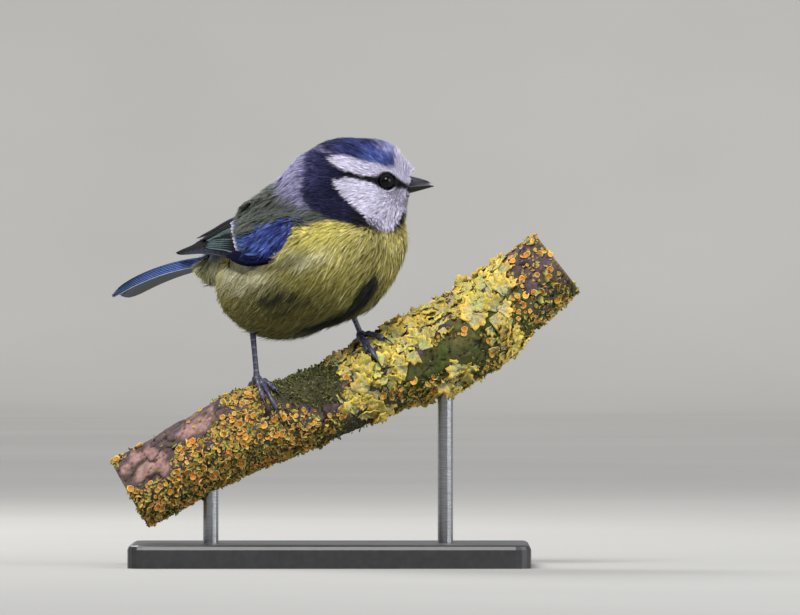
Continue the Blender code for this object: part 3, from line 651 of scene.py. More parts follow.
def shownPart(node, cutAt=None):
    # a merged copy of a solid, cut off behind a place along the bird
    bm = bmesh.new()
    bm.from_mesh(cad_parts[node].data)
    bmesh.ops.remove_doubles(bm, verts=bm.verts, dist=1e-6)
    if cutAt is not None:
        at = birdToWorld @ Vector((cutAt, 0.0, 0.0)) * 0.001
        back = birdToWorld.to_3x3() @ Vector((-1.0, 0.0, 0.0))
        everything = bm.verts[:] + bm.edges[:] + bm.faces[:]
        cut = bmesh.ops.bisect_plane(bm, geom=everything, plane_co=at, plane_no=back, clear_outer=True)
        rim = [edge for edge in cut["geom_cut"] if isinstance(edge, bmesh.types.BMEdge)]
        bmesh.ops.edgeloop_fill(bm, edges=rim)
    mesh = bpy.data.meshes.new(node + "Copy")
    bm.to_mesh(mesh)
    bm.free()
    return mesh


def settled(piece):
    # the mesh that the live modifiers make, in place of them
    bpy.context.view_layer.update()
    mesh = bpy.data.meshes.new_from_object(piece.evaluated_get(bpy.context.evaluated_depsgraph_get()))
    piece.modifiers.clear()
    piece.data = mesh
    return piece


def makeSkin():
    bm = bmesh.new()
    for node in ("head", "neck", "torso"):
        bm.from_mesh(shownPart(node))
    bm.from_mesh(shownPart("tail", skinSize["tailEnd"]))
    for node in ("wing_left", "wing_right"):
        bm.from_mesh(shownPart(node, skinSize["wingEnd"]))
    mesh = bpy.data.meshes.new("skin")
    bm.to_mesh(mesh)
    bm.free()
    skin = linked("skin", mesh)
    out = skinSize["closing"]
    addModifier(skin, "swell", "DISPLACE", mid_level=0.0, strength=out)
    addModifier(skin, "close", "REMESH", mode="VOXEL", voxel_size=skinSize["voxel"])
    addModifier(skin, "soften", "SMOOTH", iterations=skinSize["softening"])
    addModifier(skin, "shrink", "DISPLACE", mid_level=0.0, strength=-out - skinSize["coatDepth"])
    addModifier(skin, "softenAgain", "SMOOTH", iterations=skinSize["softeningAgain"])
    settled(skin)
    bm = bmesh.new()
    bm.from_mesh(skin.data)
    groups = looseParts(bm)
    keep = max(groups, key=len)
    bmesh.ops.delete(bm, geom=[v for v in bm.verts if v not in keep], context="VERTS")
    bmesh.ops.triangulate(bm, faces=bm.faces)
    for face in bm.faces:
        face.smooth = True
    bm.to_mesh(skin.data)
    bm.free()
    return skin


# Where the plumage stands higher or lies lower than the solids: middle, reach and millimetres
swells = {
    "head": (
        ((14.4, 0.0, 3.4), 3.0, 1.2), ((13.4, 2.5, -5.0), 4.0, 0.6), ((11.5, 1.5, -9.5), 3.5, 0.4),
        ((-15.0, 2.0, 6.0), 6.0, -0.8), ((-2.5, 2.0, 12.0), 5.0, -0.4), ((9.2, 7.6, 0.7), 3.4, 0.75),
    ),
    "bird": (
        ((-7.9, 6.2, 21.1), 8.0, -0.4), ((-16.0, 8.0, 15.0), 7.0, -0.8), ((21.5, 6.0, 6.5), 5.0, 2.5),
        ((18.0, 8.0, -5.5), 5.5, -1.6), ((3.0, 3.0, -17.5), 11.0, -0.9), ((-22.0, 8.0, -9.0), 6.0, 0.9),
        ((-19.0, 14.0, 3.0), 5.0, -1.0),
    ),
}


def swellAt(points):
    # millimetres out of the skin at points in bird axes
    amount = np.zeros(len(points))
    for name, places in (("head", moved(birdToHead, points)), ("bird", points)):
        x, y, z = places.T
        for middle, reach, out in swells[name]:
            amount += out * blob(x, np.abs(y), z, middle, (reach, reach, reach))
    return amount


def lowerSkin(piece):
    # the sleek places lie deeper in the solids
    mesh = piece.data
    points, normals = meshArray(mesh.vertices, "co", 3), meshArray(mesh.vertices, "normal", 3)
    lower = np.minimum(swellAt(moved(worldToBird, points * 1000.0)), 0.0)
    points += normals * (lower * 0.001)[:, None]
    mesh.vertices.foreach_set("co", points.ravel().astype(np.float32))
    mesh.update()


def looseParts(bm):
    unseen, groups = set(bm.verts), []
    while unseen:
        front = [unseen.pop()]
        group = set(front)
        while front:
            near = {vert for edge in front.pop().link_edges for vert in edge.verts} & unseen
            unseen -= near
            group |= near
            front.extend(near)
        groups.append(group)
    return groups


def unwrap(piece):
    bpy.context.view_layer.objects.active = piece
    piece.select_set(True)
    piece.data.uv_layers.new(name="OFBake")
    bpy.ops.object.mode_set(mode="EDIT")
    bpy.ops.mesh.select_all(action="SELECT")
    angle, margin = math.radians(skinSize["unwrapAngle"]), skinSize["unwrapMargin"]
    bpy.ops.uv.smart_project(angle_limit=angle, island_margin=margin)
    bpy.ops.object.mode_set(mode="OBJECT")
    piece.select_set(False)


skin = makeSkin()
lowerSkin(skin)
unwrap(skin)
skinPoints = moved(worldToBird, pointsOf(skin))
skinFaces = np.empty(len(skin.data.polygons) * 3, np.int32)
skin.data.polygons.foreach_get("vertices", skinFaces)
skinFaces = skinFaces.reshape(-1, 3)
skinPatches = meshArray(skin.data.uv_layers["OFBake"].data, "uv", 2).reshape(-1, 3, 2)
# the skin takes the coat's colours darkened, as painted shade in the gaps between the tufts
paint(skin.data, plumageAt(skinPoints) * skinSize["gapShade"])
coatMaterial = grainMaterial(
    "featherCoat", (900.0,), ((0.3, (0.84,) * 3), (0.7, (1.16,) * 3)), tinted=True,
    Roughness=0.75, Sheen_Weight=0.06, Sheen_Roughness=0.5, Specular_IOR_Level=0.14,
)
skinMaterial = grainMaterial(
    "skinUnderCoat", (900.0,), ((0.3, (0.8,) * 3), (0.7, (1.2,) * 3)), tinted=True,
    Roughness=0.8, Specular_IOR_Level=0.2,
)
dress(skin, skinMaterial, "body_plumage", "head", "neck", "torso", "tail")
print("skin:", len(skinFaces), "triangles")


# Tufts: small fans of barbs, laid along the body

tuft = {
    "barbs": 6,
    "kinds": 8,
    "patch": 0.003,
    "rootShade": 0.42,
    "tipShade": 1.12,
    "barbShades": (0.55, 0.75, 0.92, 1.05, 1.2, 1.45),
}


def tuftKinds(segments, spread, barbWidth, seed):
    # a few fans that share one layout of faces, each barb bent out of a flat strip
    draw = random.Random(seed)
    barbs = tuft["barbs"]
    kinds, shades = [], []
    for _ in range(tuft["kinds"]):
        bm = bmesh.new()
        shades.append([])
        for barb in range(barbs):
            lean = -1.0 + 2.0 * barb / (barbs - 1) + draw.uniform(-0.08, 0.08)
            start = max(0.0, 0.22 * (1.0 - abs(lean)) + draw.uniform(0.0, 0.1))
            stop = 1.0 - 0.3 * abs(lean) ** 1.6 + draw.uniform(-0.14, 0.06)
            wave = draw.uniform(-0.04, 0.04)
            rise = draw.uniform(-0.03, 0.07)
            roll = draw.uniform(-0.5, 0.5)
            strip = bmesh.ops.create_grid(bm, x_segments=segments, y_segments=1, size=0.5)["verts"]
            tip = []
            for vert in strip:
                along, across = vert.co.x + 0.5, vert.co.y * 2.0
                wide = barbWidth * (1.0 - 0.35 * along) * (0.7 + 0.3 * min(1.0, 4.0 * along))
                fan = (1.0 - (1.0 - along) ** 1.7) * (1.0 - 0.3 * along * along)
                middle = lean * spread * fan + wave * math.sin(math.pi * along)
                vert.co = (
                    start + (stop - start) * along,
                    middle + 0.5 * wide * across,
                    rise * along + 0.5 * roll * wide * across,
                )
                if along > 0.999:
                    tip.append(vert)
            bmesh.ops.pointmerge(bm, verts=tip, merge_co=sum((v.co for v in tip), Vector()) / len(tip))
            shades[-1] += [draw.choice(tuft["barbShades"]) * draw.uniform(0.9, 1.1)] * (2 * segments + 1)
        bmesh.ops.triangulate(bm, faces=bm.faces)
        points, faces = arraysOf(bm)
        kinds.append(points)
    return np.dstack((np.array(kinds), np.array(shades))), faces


def plant(name, kinds, faces, roots, seed):
    # roots is a dictionary of arrays: root, middle, tip, normals, sizes, tints and patches
    draw = np.random.default_rng(seed)
    count = len(roots["root"])
    shape = kinds[draw.integers(0, len(kinds), count)]
    x, y, z, barbShade = (shape[:, :, k] for k in range(4))
    long = roots["long"][:, None]
    weights = (2.0 * (x - 0.5) * (x - 1.0), 4.0 * x * (1.0 - x), 2.0 * x * (x - 0.5))
    points = sum(w[:, :, None] * roots[key][:, None, :] for w, key in zip(weights, ("root", "middle", "tip")))
    rootNormal, tipNormal = roots["rootNormal"], roots["tipNormal"]
    normals = unit(rootNormal[:, None, :] * (1.0 - x[:, :, None]) + tipNormal[:, None, :] * x[:, :, None])
    side = unit(np.cross(rootNormal, roots["tip"] - roots["root"]))
    roll = draw.uniform(-0.35, 0.35, count)[:, None]
    lateral = y * long * roots["wide"][:, None]
    height = roots["sink"][:, None] + (roots["lift"][:, None] - roots["sink"][:, None]) * x**1.15
    height = height + z * long + roll * lateral
    points = points + side[:, None, :] * lateral[:, :, None] + normals * height[:, :, None]
    # pale feathers hide their shadows, dark ones show every bright barb
    bright = roots["tint"].mean(1)
    strong = np.interp(bright, (0.01, 0.1, 0.3, 0.6), (1.25, 1.0, 0.8, 0.4))[:, None]
    low, high = tuft["rootShade"], tuft["tipShade"]
    shade = (low + (high - low) * easeStep(0.1, 0.8, x)) * barbShade
    shade = np.maximum(1.0 + (shade - 1.0) * strong, 0.12)
    colours = roots["tint"][:, None, :] * shade[:, :, None]
    # the brightest barbs pale towards white as a painted highlight
    barbHighlight = easeStep(1.1, 1.4, barbShade)[:, :, None] * 0.3
    colours += (colours.max(2, keepdims=True) - colours) * barbHighlight
    patches = roots["patch"][:, None, :] + tuft["patch"] * np.stack((x - 0.5, y), axis=-1)
    vertexCount = shape.shape[1]
    triangles = faces[None, :, :] + (np.arange(count) * vertexCount)[:, None, None]
    return arrayPiece(
        name,
        moved(birdToWorld, points.reshape(-1, 3)),
        triangles.reshape(-1, 3),
        np.clip(colours.reshape(-1, 3), 0.0, 1.0),
        patches.reshape(-1, 2),
    )


# Where the coat lies: the skin, raised over the wings' outer faces

wingS, _, wingGap = wingPlaces(skinPoints)
skinVertexNormals = turned(worldToBird, meshArray(skin.data.vertices, "normal", 3))
overWing = easeStep(6.5, 2.2, wingGap) * easeStep(0.66, 0.54, wingS)
raised = overWing * skinSize["wingRise"] + np.maximum(swellAt(skinPoints), 0.0)
layPoints = skinPoints + skinVertexNormals * raised[:, None]
layTree = BVHTree.FromPolygons(layPoints.tolist(), skinFaces.tolist())


noPlace = 99.0  # the spacing that keeps tufts away


def scatter(spacingOf, seed, most):
    # points over the lay surface, no two nearer than the spacing there
    draw = np.random.default_rng(seed)
    corners = layPoints[skinFaces]
    areas = np.linalg.norm(np.cross(corners[:, 1] - corners[:, 0], corners[:, 2] - corners[:, 0]), axis=1)
    face = draw.choice(len(skinFaces), most, p=areas / areas.sum())
    u, v = draw.random(most), draw.random(most)
    flip = u + v > 1.0
    u[flip], v[flip] = 1.0 - u[flip], 1.0 - v[flip]
    weight = np.stack((1.0 - u - v, u, v), axis=1)
    points = (corners[face] * weight[:, :, None]).sum(1)
    spacing = spacingOf(points)
    taken, cell, kept = {}, 0.7, []
    for index, (point, gap) in enumerate(zip(points.tolist(), spacing.tolist())):
        if gap >= noPlace:
            continue
        home = tuple(int(value // cell) for value in point)
        if any(sum((p - q) ** 2 for p, q in zip(point, other)) < gap * gap for other in around(taken, home)):
            continue
        taken.setdefault(home, []).append(point)
        kept.append(index)
    kept = np.array(kept)
    patches = (skinPatches[face[kept]] * weight[kept][:, :, None]).sum(1)
    return points[kept], patches


print("coat: lay surface ready")


# The coat: how long, how close and which way the tufts lie

coat = {
    "headLong": 2.6,
    "bodyLong": 5.4,
    "billRoot": (12.6, 0.0, -0.2),  # head axes
    "tailRoot": (-34.0, 0.0, -3.0),
    "eyeFree": 1.93,
    "gap": 0.235,
    "gapByLong": 0.027,
    "behind": -35.0,
    "candidates": 260000,
    "headSegments": 2,
    "bodySegments": 3,
    "mostTriangles": 190000,
}
eyeCentres = {}
for side in ("left", "right"):
    low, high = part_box("eye_" + side)
    middle = (Vector(low) + Vector(high)) * 500.0
    eyeCentres[side] = worldToBird @ middle
eyePoints = np.array([eyeCentres[side][:] for side in ("left", "right")])
billRoot = np.array(headToBird @ Vector(coat["billRoot"]))


def eyeGap(points):
    return np.linalg.norm(points[:, None, :] - eyePoints[None], axis=2).min(1)


def coatLong(points):
    x, _, z = moved(birdToHead, points).T
    away = np.maximum(easeStep(-7.0, -15.0, x), easeStep(-9.0, -16.0, z))
    long = coat["headLong"] + (coat["bodyLong"] - coat["headLong"]) * away
    long *= np.interp(eyeGap(points), (2.2, 3.2, 6.5), (0.36, 0.5, 1.0))
    return long * np.interp(np.linalg.norm(points - billRoot, axis=1), (1.5, 4.0, 9.0), (0.34, 0.55, 1.0))


def coatSpacing(points):
    spacing = coat["gap"] + coat["gapByLong"] * coatLong(points)
    hidden = overWingAt(points) | (points[:, 0] < coat["behind"]) | (eyeGap(points) < coat["eyeFree"])
    return np.where(hidden, noPlace, spacing)


def coatLie(points, normals):
    # lines that leave the bill's root, run over the body and close in on the tail, round the eyes
    tailRoot = np.array(coat["tailRoot"])
    fromBill, toTail = points - billRoot, tailRoot - points
    ways = fromBill / (fromBill**2).sum(1)[:, None] + toTail / (toTail**2).sum(1)[:, None]
    ways = unit(ways - normals * (ways * normals).sum(1)[:, None])
    for eye in eyePoints:
        offset = points - eye
        offset = offset - normals * (offset * normals).sum(1)[:, None]
        far = np.linalg.norm(offset, axis=1)[:, None]
        ray = offset / np.maximum(far, 1e-6)
        pushed = ways - (1.9 / np.maximum(far, 1.9)) ** 2 * (2.0 * (ways * ray).sum(1)[:, None] * ray - ways)
        ways = np.where(far < 7.0, unit(pushed), ways)
    # over the sides they also hang down
    down = np.array((0.0, 0.0, -1.0)) + normals * normals[:, 2:3]
    x, _, z = moved(birdToHead, points).T
    away = np.maximum(easeStep(-10.0, -17.0, x), easeStep(-11.0, -17.0, z))
    hang = 0.55 * easeStep(0.2, 0.7, np.abs(normals[:, 1])) * away
    return unit(ways + down * hang[:, None])


def nearestLay(points):
    found = [layTree.find_nearest(p) for p in points.tolist()]
    return np.array([f[0][:] for f in found]), np.array([f[1][:] for f in found])


def overWingAt(points):
    s, t, gap = wingPlaces(points)
    return wingShown(s, t, gap) | ((s > 0.62) & (gap < 2.0))


def rootsFor(points, patches, seed, lift, long=None, yaw=7.0):
    draw = np.random.default_rng(seed)
    at, normals = nearestLay(points)
    ways = coatLie(at, normals)
    turn = np.radians(draw.normal(0.0, yaw, len(at)))[:, None]
    ways = unit(ways * np.cos(turn) + np.cross(normals, ways) * np.sin(turn))
    loose = (draw.random(len(at)) < 0.12) & (coatLong(at) > 3.0)
    long = (coatLong(at) if long is None else long) * draw.uniform(0.82, 1.16, len(at)) * np.where(loose, 1.35, 1.0)
    if yaw > 5.0:  # the body's tufts end where the bare wing begins
        for _ in range(3):
            long = np.where(overWingAt(at + ways * (0.86 * long)[:, None]), long * 0.66, long)
    middle, _ = nearestLay(at + ways * (0.5 * long)[:, None])
    tip, tipNormals = nearestLay(at + ways * long[:, None])
    return {
        "root": at,
        "middle": middle,
        "tip": tip,
        "rootNormal": normals,
        "tipNormal": tipNormals,
        "long": long,
        "wide": draw.uniform(0.85, 1.2, len(at)),
        "sink": -0.12 - 0.75 * np.maximum(swellAt(at), 0.0),
        "lift": lift * draw.uniform(0.7, 1.3, len(at)) * np.where(loose, 1.5, 1.0),
        "tint": plumageAt(at + ways * (0.6 * long)[:, None]) * draw.normal(1.0, 0.12, len(at))[:, None],
        "patch": patches,
    }


def chosen(roots, keep):
    return {key: values[keep] for key, values in roots.items()}


def plantAll(name, kinds, faces, roots, seed, order):
    # parts that are each small enough, cut by their place along one axis
    count = len(roots["root"])
    pieces = max(1, math.ceil(count * len(faces) / coat["mostTriangles"]))
    ranks = np.argsort(np.argsort(order))
    made = []
    for index in range(pieces):
        part = (ranks * pieces // count) == index
        made.append(plant(name + "_" + str(index + 1), kinds, faces, chosen(roots, part), seed + index))
    return made


def makeCoat():
    points, patches = scatter(coatSpacing, 21, coat["candidates"])
    x, _, z = moved(birdToHead, points).T
    short = coatLong(points) < 3.0
    fluffy = np.maximum(0.7 * easeStep(-14.0, -19.0, points[:, 2]), 0.3 * easeStep(-24.0, -30.0, points[:, 0]))
    lift = np.where(short, 0.55, 0.85) + 0.7 * fluffy
    lift *= np.interp(eyeGap(points), (2.2, 5.0), (0.6, 1.0))
    lift += 0.45 * easeStep(9.0, 13.0, x) * easeStep(1.0, 4.0, z)
    lift -= 0.3 * easeStep(6.0, 12.0, points[:, 2]) * ~short
    roots = rootsFor(points, patches, 31, lift)
    clear = eyeGap(roots["tip"]) > coat["eyeFree"] - 0.1
    kinds, faces = tuftKinds(coat["headSegments"], 0.1, 0.05, 5)
    keep = short & clear
    for piece in plantAll("headFeathers", kinds, faces, chosen(roots, keep), 41, points[keep, 0]):
        dress(piece, coatMaterial, "head_plumage")
    kinds, faces = tuftKinds(coat["bodySegments"], 0.085, 0.03, 6)
    keep = ~short & clear
    for piece in plantAll("bodyFeathers", kinds, faces, chosen(roots, keep), 51, points[keep, 0]):
        dress(piece, coatMaterial, "body_plumage")
    print("coat:", int(short.sum()), "head tufts,", int((~short).sum()), "body tufts")


makeCoat()


# Small blue coverts over the wing's shoulder

blueTone = {
    "navy": tone(24, 28, 66),
    "blue": tone(50, 66, 140),
    "bright": tone(84, 110, 200),
    "violet": tone(110, 112, 186),
}


def blueSpacing(points):
    s, t, gap = wingPlaces(points)
    return np.where(wingShown(s, t, gap) & (s < 0.38) & (t > 0.09) & (gap < 2.4), 0.32, noPlace)


def blueAt(points):
    s, t, _ = wingPlaces(points)
    streak = np.array([noise.noise(Vector((p[0] * 0.3, p[1], p[2] * 1.2))) for p in points])
    colours = np.tile(blueTone["blue"], (len(points), 1))
    colours = layered(
        colours,
        (blueTone["bright"], easeStep(-0.1, 0.45, streak) * 0.8),
        (blueTone["navy"], easeStep(-0.05, -0.4, streak) * 0.8),
        (blueTone["violet"], easeStep(0.22, 0.1, s) * easeStep(0.4, 0.75, t) * 0.6),
    )
    return mixInto(colours, blueTone["navy"], easeStep(0.22, 0.04, t) * 0.7)


def makeBlueCoverts():
    points, patches = scatter(blueSpacing, 22, coat["candidates"] // 2)
    roots = rootsFor(points, patches, 33, np.full(len(points), 0.55), np.full(len(points), 3.8), 4.0)
    draw = np.random.default_rng(34)
    roots["tint"] = blueAt(roots["middle"]) * draw.normal(1.0, 0.14, len(points))[:, None]
    kinds, faces = tuftKinds(coat["bodySegments"], 0.07, 0.03, 7)
    for piece in plantAll("wingCoverts", kinds, faces, roots, 35, points[:, 0]):
        dress(piece, coatMaterial, "flight_feathers")


makeBlueCoverts()
print("wings: small coverts")


# Eyes and lids

face = {
    "eyeRadius": 1.86,
    "lidRadius": 1.58,
    "lidThick": 0.19,
    "lidRings": 40,
}


def eyeAxes(side):
    # the eye's middle and its outward, forward and upward directions, in world axes
    hand = 1.0 if side == "left" else -1.0
    centre = birdToWorld @ eyeCentres[side]
    out = (headToWorld.to_3x3() @ Vector((0.12, hand, 0.02))).normalized()
    forward = headToWorld.to_3x3() @ Vector((1.0, 0.0, 0.0))
    up = out.cross(forward).normalized() * -hand
    if up.z < 0.0:
        up = -up
    ahead = (forward - out * forward.dot(out)).normalized()
    return centre, out, ahead, up


def makeEye(side):
    centre, out, ahead, up = eyeAxes(side)
    bm = bmesh.new()
    bmesh.ops.create_uvsphere(bm, u_segments=48, v_segments=32, radius=face["eyeRadius"])
    for vert in bm.verts:  # the clear front stands a little proud of the ball
        if vert.co.z > 1.0:
            vert.co.z += 0.10 * (vert.co.z - 1.0)
    place = Matrix.Translation(centre) @ Matrix((ahead, up, out)).transposed().to_4x4()
    eye = meshPiece("eyeball_" + side, bm, place)
    mesh = eye.data
    depth = np.array([(v.co * 1000.0 - centre).dot(out) for v in mesh.vertices])
    colours = np.tile(tone(9, 7, 7), (len(depth), 1))
    colours = layered(
        colours,
        (tone(20, 14, 12), easeStep(1.6, 1.52, depth) * easeStep(1.0, 1.15, depth)),
        (tone(3, 3, 4), easeStep(1.5, 1.6, depth)),
    )
    paint(mesh, colours)
    return dress(eye, eyeMaterial, "eye", "eye_" + side)


def lidPath(side, share, raised=0.0):
    # a point round the rim of the eye, on its ball or raised over it
    centre, out, ahead, up = eyeAxes(side)
    turn = math.tau * share
    wide = face["lidRadius"] * (1.05 if math.cos(turn) > 0.0 else 1.0)
    flat = ahead * (wide * math.cos(turn)) + up * (face["lidRadius"] * 0.93 * math.sin(turn))
    depth = math.sqrt(max(0.3, face["eyeRadius"] ** 2 - min(flat.length, 1.8) ** 2))
    return centre + flat + out * (depth + 0.1 + raised)


def ringTube(bm, rings, sides, closed=False):
    # circles set along a path and bridged; each ring is its middle, two axes across and two radii
    loops = []
    for middle, first, second, wide, high in rings:
        place = Matrix((first, second, first.cross(second))).transposed().to_4x4()
        made = bmesh.ops.create_circle(bm, segments=sides, radius=1.0)["verts"]
        bmesh.ops.scale(bm, vec=(wide, high, 1.0), verts=made)
        bmesh.ops.transform(bm, matrix=Matrix.Translation(middle) @ place, verts=made)
        loops.append(made)
    pairs = list(zip(loops, loops[1:])) + ([(loops[-1], loops[0])] if closed else [])
    for one, other in pairs:
        edges = [e for e in {edge for vert in one + other for edge in vert.link_edges} if isRim(e, one, other)]
        bmesh.ops.bridge_loops(bm, edges=edges)
    if not closed:
        for end in (loops[0], loops[-1]):
            bmesh.ops.contextual_create(bm, geom=end)
    return loops


def isRim(edge, one, other):
    first, second = edge.verts
    return (first in one and second in one) or (first in other and second in other)


def makeLid(side):
    bm = bmesh.new()
    rings = []
    count = face["lidRings"]
    out = eyeAxes(side)[1]
    for index in range(count):
        share = index / count
        at = lidPath(side, share)
        along = (lidPath(side, share + 0.01) - lidPath(side, share - 0.01)).normalized()
        radial = along.cross(out).normalized()
        turn = math.tau * share
        bead = face["lidThick"] * (1.0 + 0.16 * math.sin(turn * 13.0)) * (1.0 + 0.25 * abs(math.cos(turn)))
        rings.append((at, radial, out, bead, bead * 0.72))
    ringTube(bm, rings, 8, True)
    bmesh.ops.recalc_face_normals(bm, faces=bm.faces)
    return dress(meshPiece("eyelid_" + side, bm), lidMaterial, "head_plumage")


eyeMaterial = grainMaterial(
    "eyeGloss", (2600.0, 4.0), ((0.35, (0.6, 0.6, 0.6)), (0.7, (1.3, 1.25, 1.2))), tinted=True,
    Roughness=0.05, Specular_IOR_Level=0.32, IOR=1.38,
)
lidMaterial = grainMaterial(
    "lidSkin", (3200.0,), ((0.3, tone(9, 9, 12)), (0.7, tone(26, 25, 31))), (0.0001, 0.6),
    Roughness=0.8, Specular_IOR_Level=0.12,
)
for side in ("left", "right"):
    makeEye(side)
    makeLid(side)
print("face: eyes and lids")


# Bill

bill = {
    "stations": (  # forward, top, closing edge, bottom and half width, in head axes
        (11.6, 1.8, -0.55, -2.0, 1.8),
        (12.4, 1.95, -0.55, -2.1, 1.9),
        (14.4, 2.35, -0.5, -2.3, 2.05),
        (16.0, 2.05, -0.35, -1.95, 1.72),
        (17.8, 1.62, -0.2, -1.45, 1.24),
        (19.6, 1.04, -0.1, -0.95, 0.8),
        (20.8, 0.55, -0.1, -0.62, 0.44),
        (21.55, 0.12, -0.14, -0.42, 0.1),
    ),
    "nostril": (15.3, 1.05),
    "nostrilOut": 1.62,
    "nostrilHalf": (0.62, 0.3, 0.3),
    "nostrilLean": 8.0,
    "gap": 0.035,
    "rings": 34,
    "outline": 18,
}


def makeBillHalf(upper):
    bm = bmesh.new()
    rings = []
    count, outline = bill["rings"], bill["outline"]
    for index in range(count):
        share = (index / (count - 1)) * (1.0 if upper else 0.955)
        x, top, edge, bottom, half = smoothLine(bill["stations"], share)
        hook = 0.18 * easeStep(19.4, 21.4, np.array(x)) if upper else 0.0
        closing = edge + (bill["gap"] if upper else -bill["gap"]) - hook
        depth = (top if upper else bottom) - closing - hook
        if index == count - 1:
            depth, half = depth * 0.35, half * 0.4
        verts = []
        for step in range(outline + 1):
            turn = math.pi * step / outline
            y, z = math.cos(turn), math.sin(turn)
            keel = 0.16 * max(0.0, z - 0.82) / 0.18  # the ridge along the top
            ledge = 0.05 * math.exp(-((z - 0.12) / 0.1) ** 2)  # the pale cutting edge
            wide = half * (abs(y) ** 0.85) * math.copysign(1.0, y) * (1.0 + ledge)
            verts.append(bm.verts.new((x, wide, closing + depth * min(1.0, z**0.9) * (1.0 + 0.04 * keel))))
        rings.append(verts)
    for one, other in zip(rings, rings[1:]):
        bmesh.ops.bridge_loops(bm, edges=[*chained(bm, one), *chained(bm, other)])
    for ring in rings:
        chained(bm, [ring[0], ring[-1]])
    closeBetween(bm, rings)
    bmesh.ops.recalc_face_normals(bm, faces=bm.faces)
    piece = meshPiece("bill_" + ("top" if upper else "under"), bm, headToWorld)
    x, _, z = moved(headToWorld.inverted(), pointsOf(piece)).T
    stations = np.array(bill["stations"][:-1])
    edge = np.interp(x, stations[:, 0], stations[:, 2])
    height = np.abs(z - edge)
    if upper:
        colours = np.tile(tone(24, 24, 32), (len(x), 1))
        colours = layered(
            colours,
            (tone(66, 62, 80), easeStep(0.9, 1.6, height) * 0.7),
            (tone(110, 100, 116), easeStep(0.5, 0.12, height) * easeStep(15.0, 17.5, x) * 0.8),
            (tone(176, 164, 172), easeStep(19.6, 21.2, x) * 0.8),
        )
    else:
        colours = np.tile(tone(7, 7, 9), (len(x), 1))
        colours = mixInto(colours, tone(70, 66, 76), easeStep(20.0, 20.9, x) * 0.7)
    paint(piece.data, colours)
    return dress(piece, billMaterial, "bill", "bill_upper" if upper else "bill_lower")


def chained(bm, verts):
    edges = []
    for pair in zip(verts, verts[1:]):
        edges.append(bm.edges.get(pair) or bm.edges.new(pair))
    return edges


def closeBetween(bm, rings):
    for one, other in zip(rings, rings[1:]):
        bmesh.ops.contextual_create(bm, geom=[one[0], one[-1], other[0], other[-1]])
    for ring in (rings[0], rings[-1]):
        bmesh.ops.contextual_create(bm, geom=ring)


def makeNostril(hand):
    # a dark slit low on the bill's root, in its soft rim: painted shade where the nostril opens
    x, z = bill["nostril"]
    bm = bmesh.new()
    bmesh.ops.create_uvsphere(bm, u_segments=16, v_segments=10, radius=1.0)
    bmesh.ops.scale(bm, vec=bill["nostrilHalf"], verts=bm.verts)
    lean = Matrix.Rotation(math.radians(bill["nostrilLean"]), 3, "Y")
    bmesh.ops.rotate(bm, cent=(0.0, 0.0, 0.0), matrix=lean, verts=bm.verts)
    bmesh.ops.translate(bm, vec=(x, hand * bill["nostrilOut"], z), verts=bm.verts)
    name = "nostril_" + ("left" if hand > 0.0 else "right")
    dress(meshPiece(name, bm, headToWorld), nostrilShadeMaterial, "bill")


billMaterial = grainMaterial(
    "billHorn", (1400.0, 4.0), ((0.3, (0.72, 0.72, 0.74)), (0.7, (1.25, 1.25, 1.25))), (0.00005, 0.5), tinted=True,
    Roughness=0.38, Specular_IOR_Level=0.4,
)
# painted shade for the nostril's opening
nostrilShadeMaterial = grainMaterial("nostrilShade", (4000.0,), ((0.3, tone(8, 8, 10)), (0.7, tone(26, 24, 28))), Roughness=0.8)
makeBillHalf(True)
makeBillHalf(False)
makeNostril(1.0)
makeNostril(-1.0)
print("face: bill")


# Feather vanes: one unit vane, laid out along a frame for each feather

vane = {
    "long": 15,
    "slant": 0.75,
    "across": (-1.0, -0.84, -0.7, -0.35, -0.05, 0.05, 0.5, 1.0),
    "thick": 0.00009,
    "shaftRise": 0.07,
    "camber": 0.16,
}


def unitVane():
    bm = bmesh.new()
    columns = len(vane["across"]) - 1
    bmesh.ops.create_grid(bm, x_segments=vane["long"], y_segments=columns, size=0.5)
    for vert in bm.verts:
        share = 1.0 - (0.5 - vert.co.x) ** 1.35
        column = round((vert.co.y + 0.5) * columns)
        vert.co = (share, vane["across"][column], 0.0)
    bmesh.ops.triangulate(bm, faces=bm.faces)
    return arraysOf(bm)


vanePoints, vaneFaces = unitVane()


def vaneHalf(share, blunt):
    swell = np.sin(np.pi * np.minimum(0.5, 0.2 + 0.5 * share))
    return np.maximum(0.06, swell * np.sqrt(np.maximum(0.0, 1.0 - share**blunt)))


def layVane(frameOf, width, long, blunt, colourOf, draw, lean=0.0):
    # frameOf gives a middle, a side and an outward direction for each share along the vane
    shares = np.unique(vanePoints[:, 0].round(6))
    frames = {share: [np.array(v) for v in frameOf(float(share))] for share in shares}
    x, y = vanePoints[:, 0].round(6), vanePoints[:, 1]
    middle, side, out = (np.array([frames[share][k] for share in x]) for k in range(3))
    half = 0.5 * width * vaneHalf(x, blunt)
    notch = 1.0 + 0.02 * np.array([draw.uniform(-1.0, 1.0) for _ in x]) * (np.abs(y) > 0.9)
    across = y * half * notch
    rise = -vane["camber"] * half * y * y + lean * half * y
    rise = rise + vane["shaftRise"] * (np.abs(y) < 0.1) * (1.0 - 0.7 * x)
    points = middle + side * across[:, None] + out * rise[:, None]
    colours = colourOf(x, y, draw)
    return points, colours, x * long - vane["slant"] * np.abs(across)


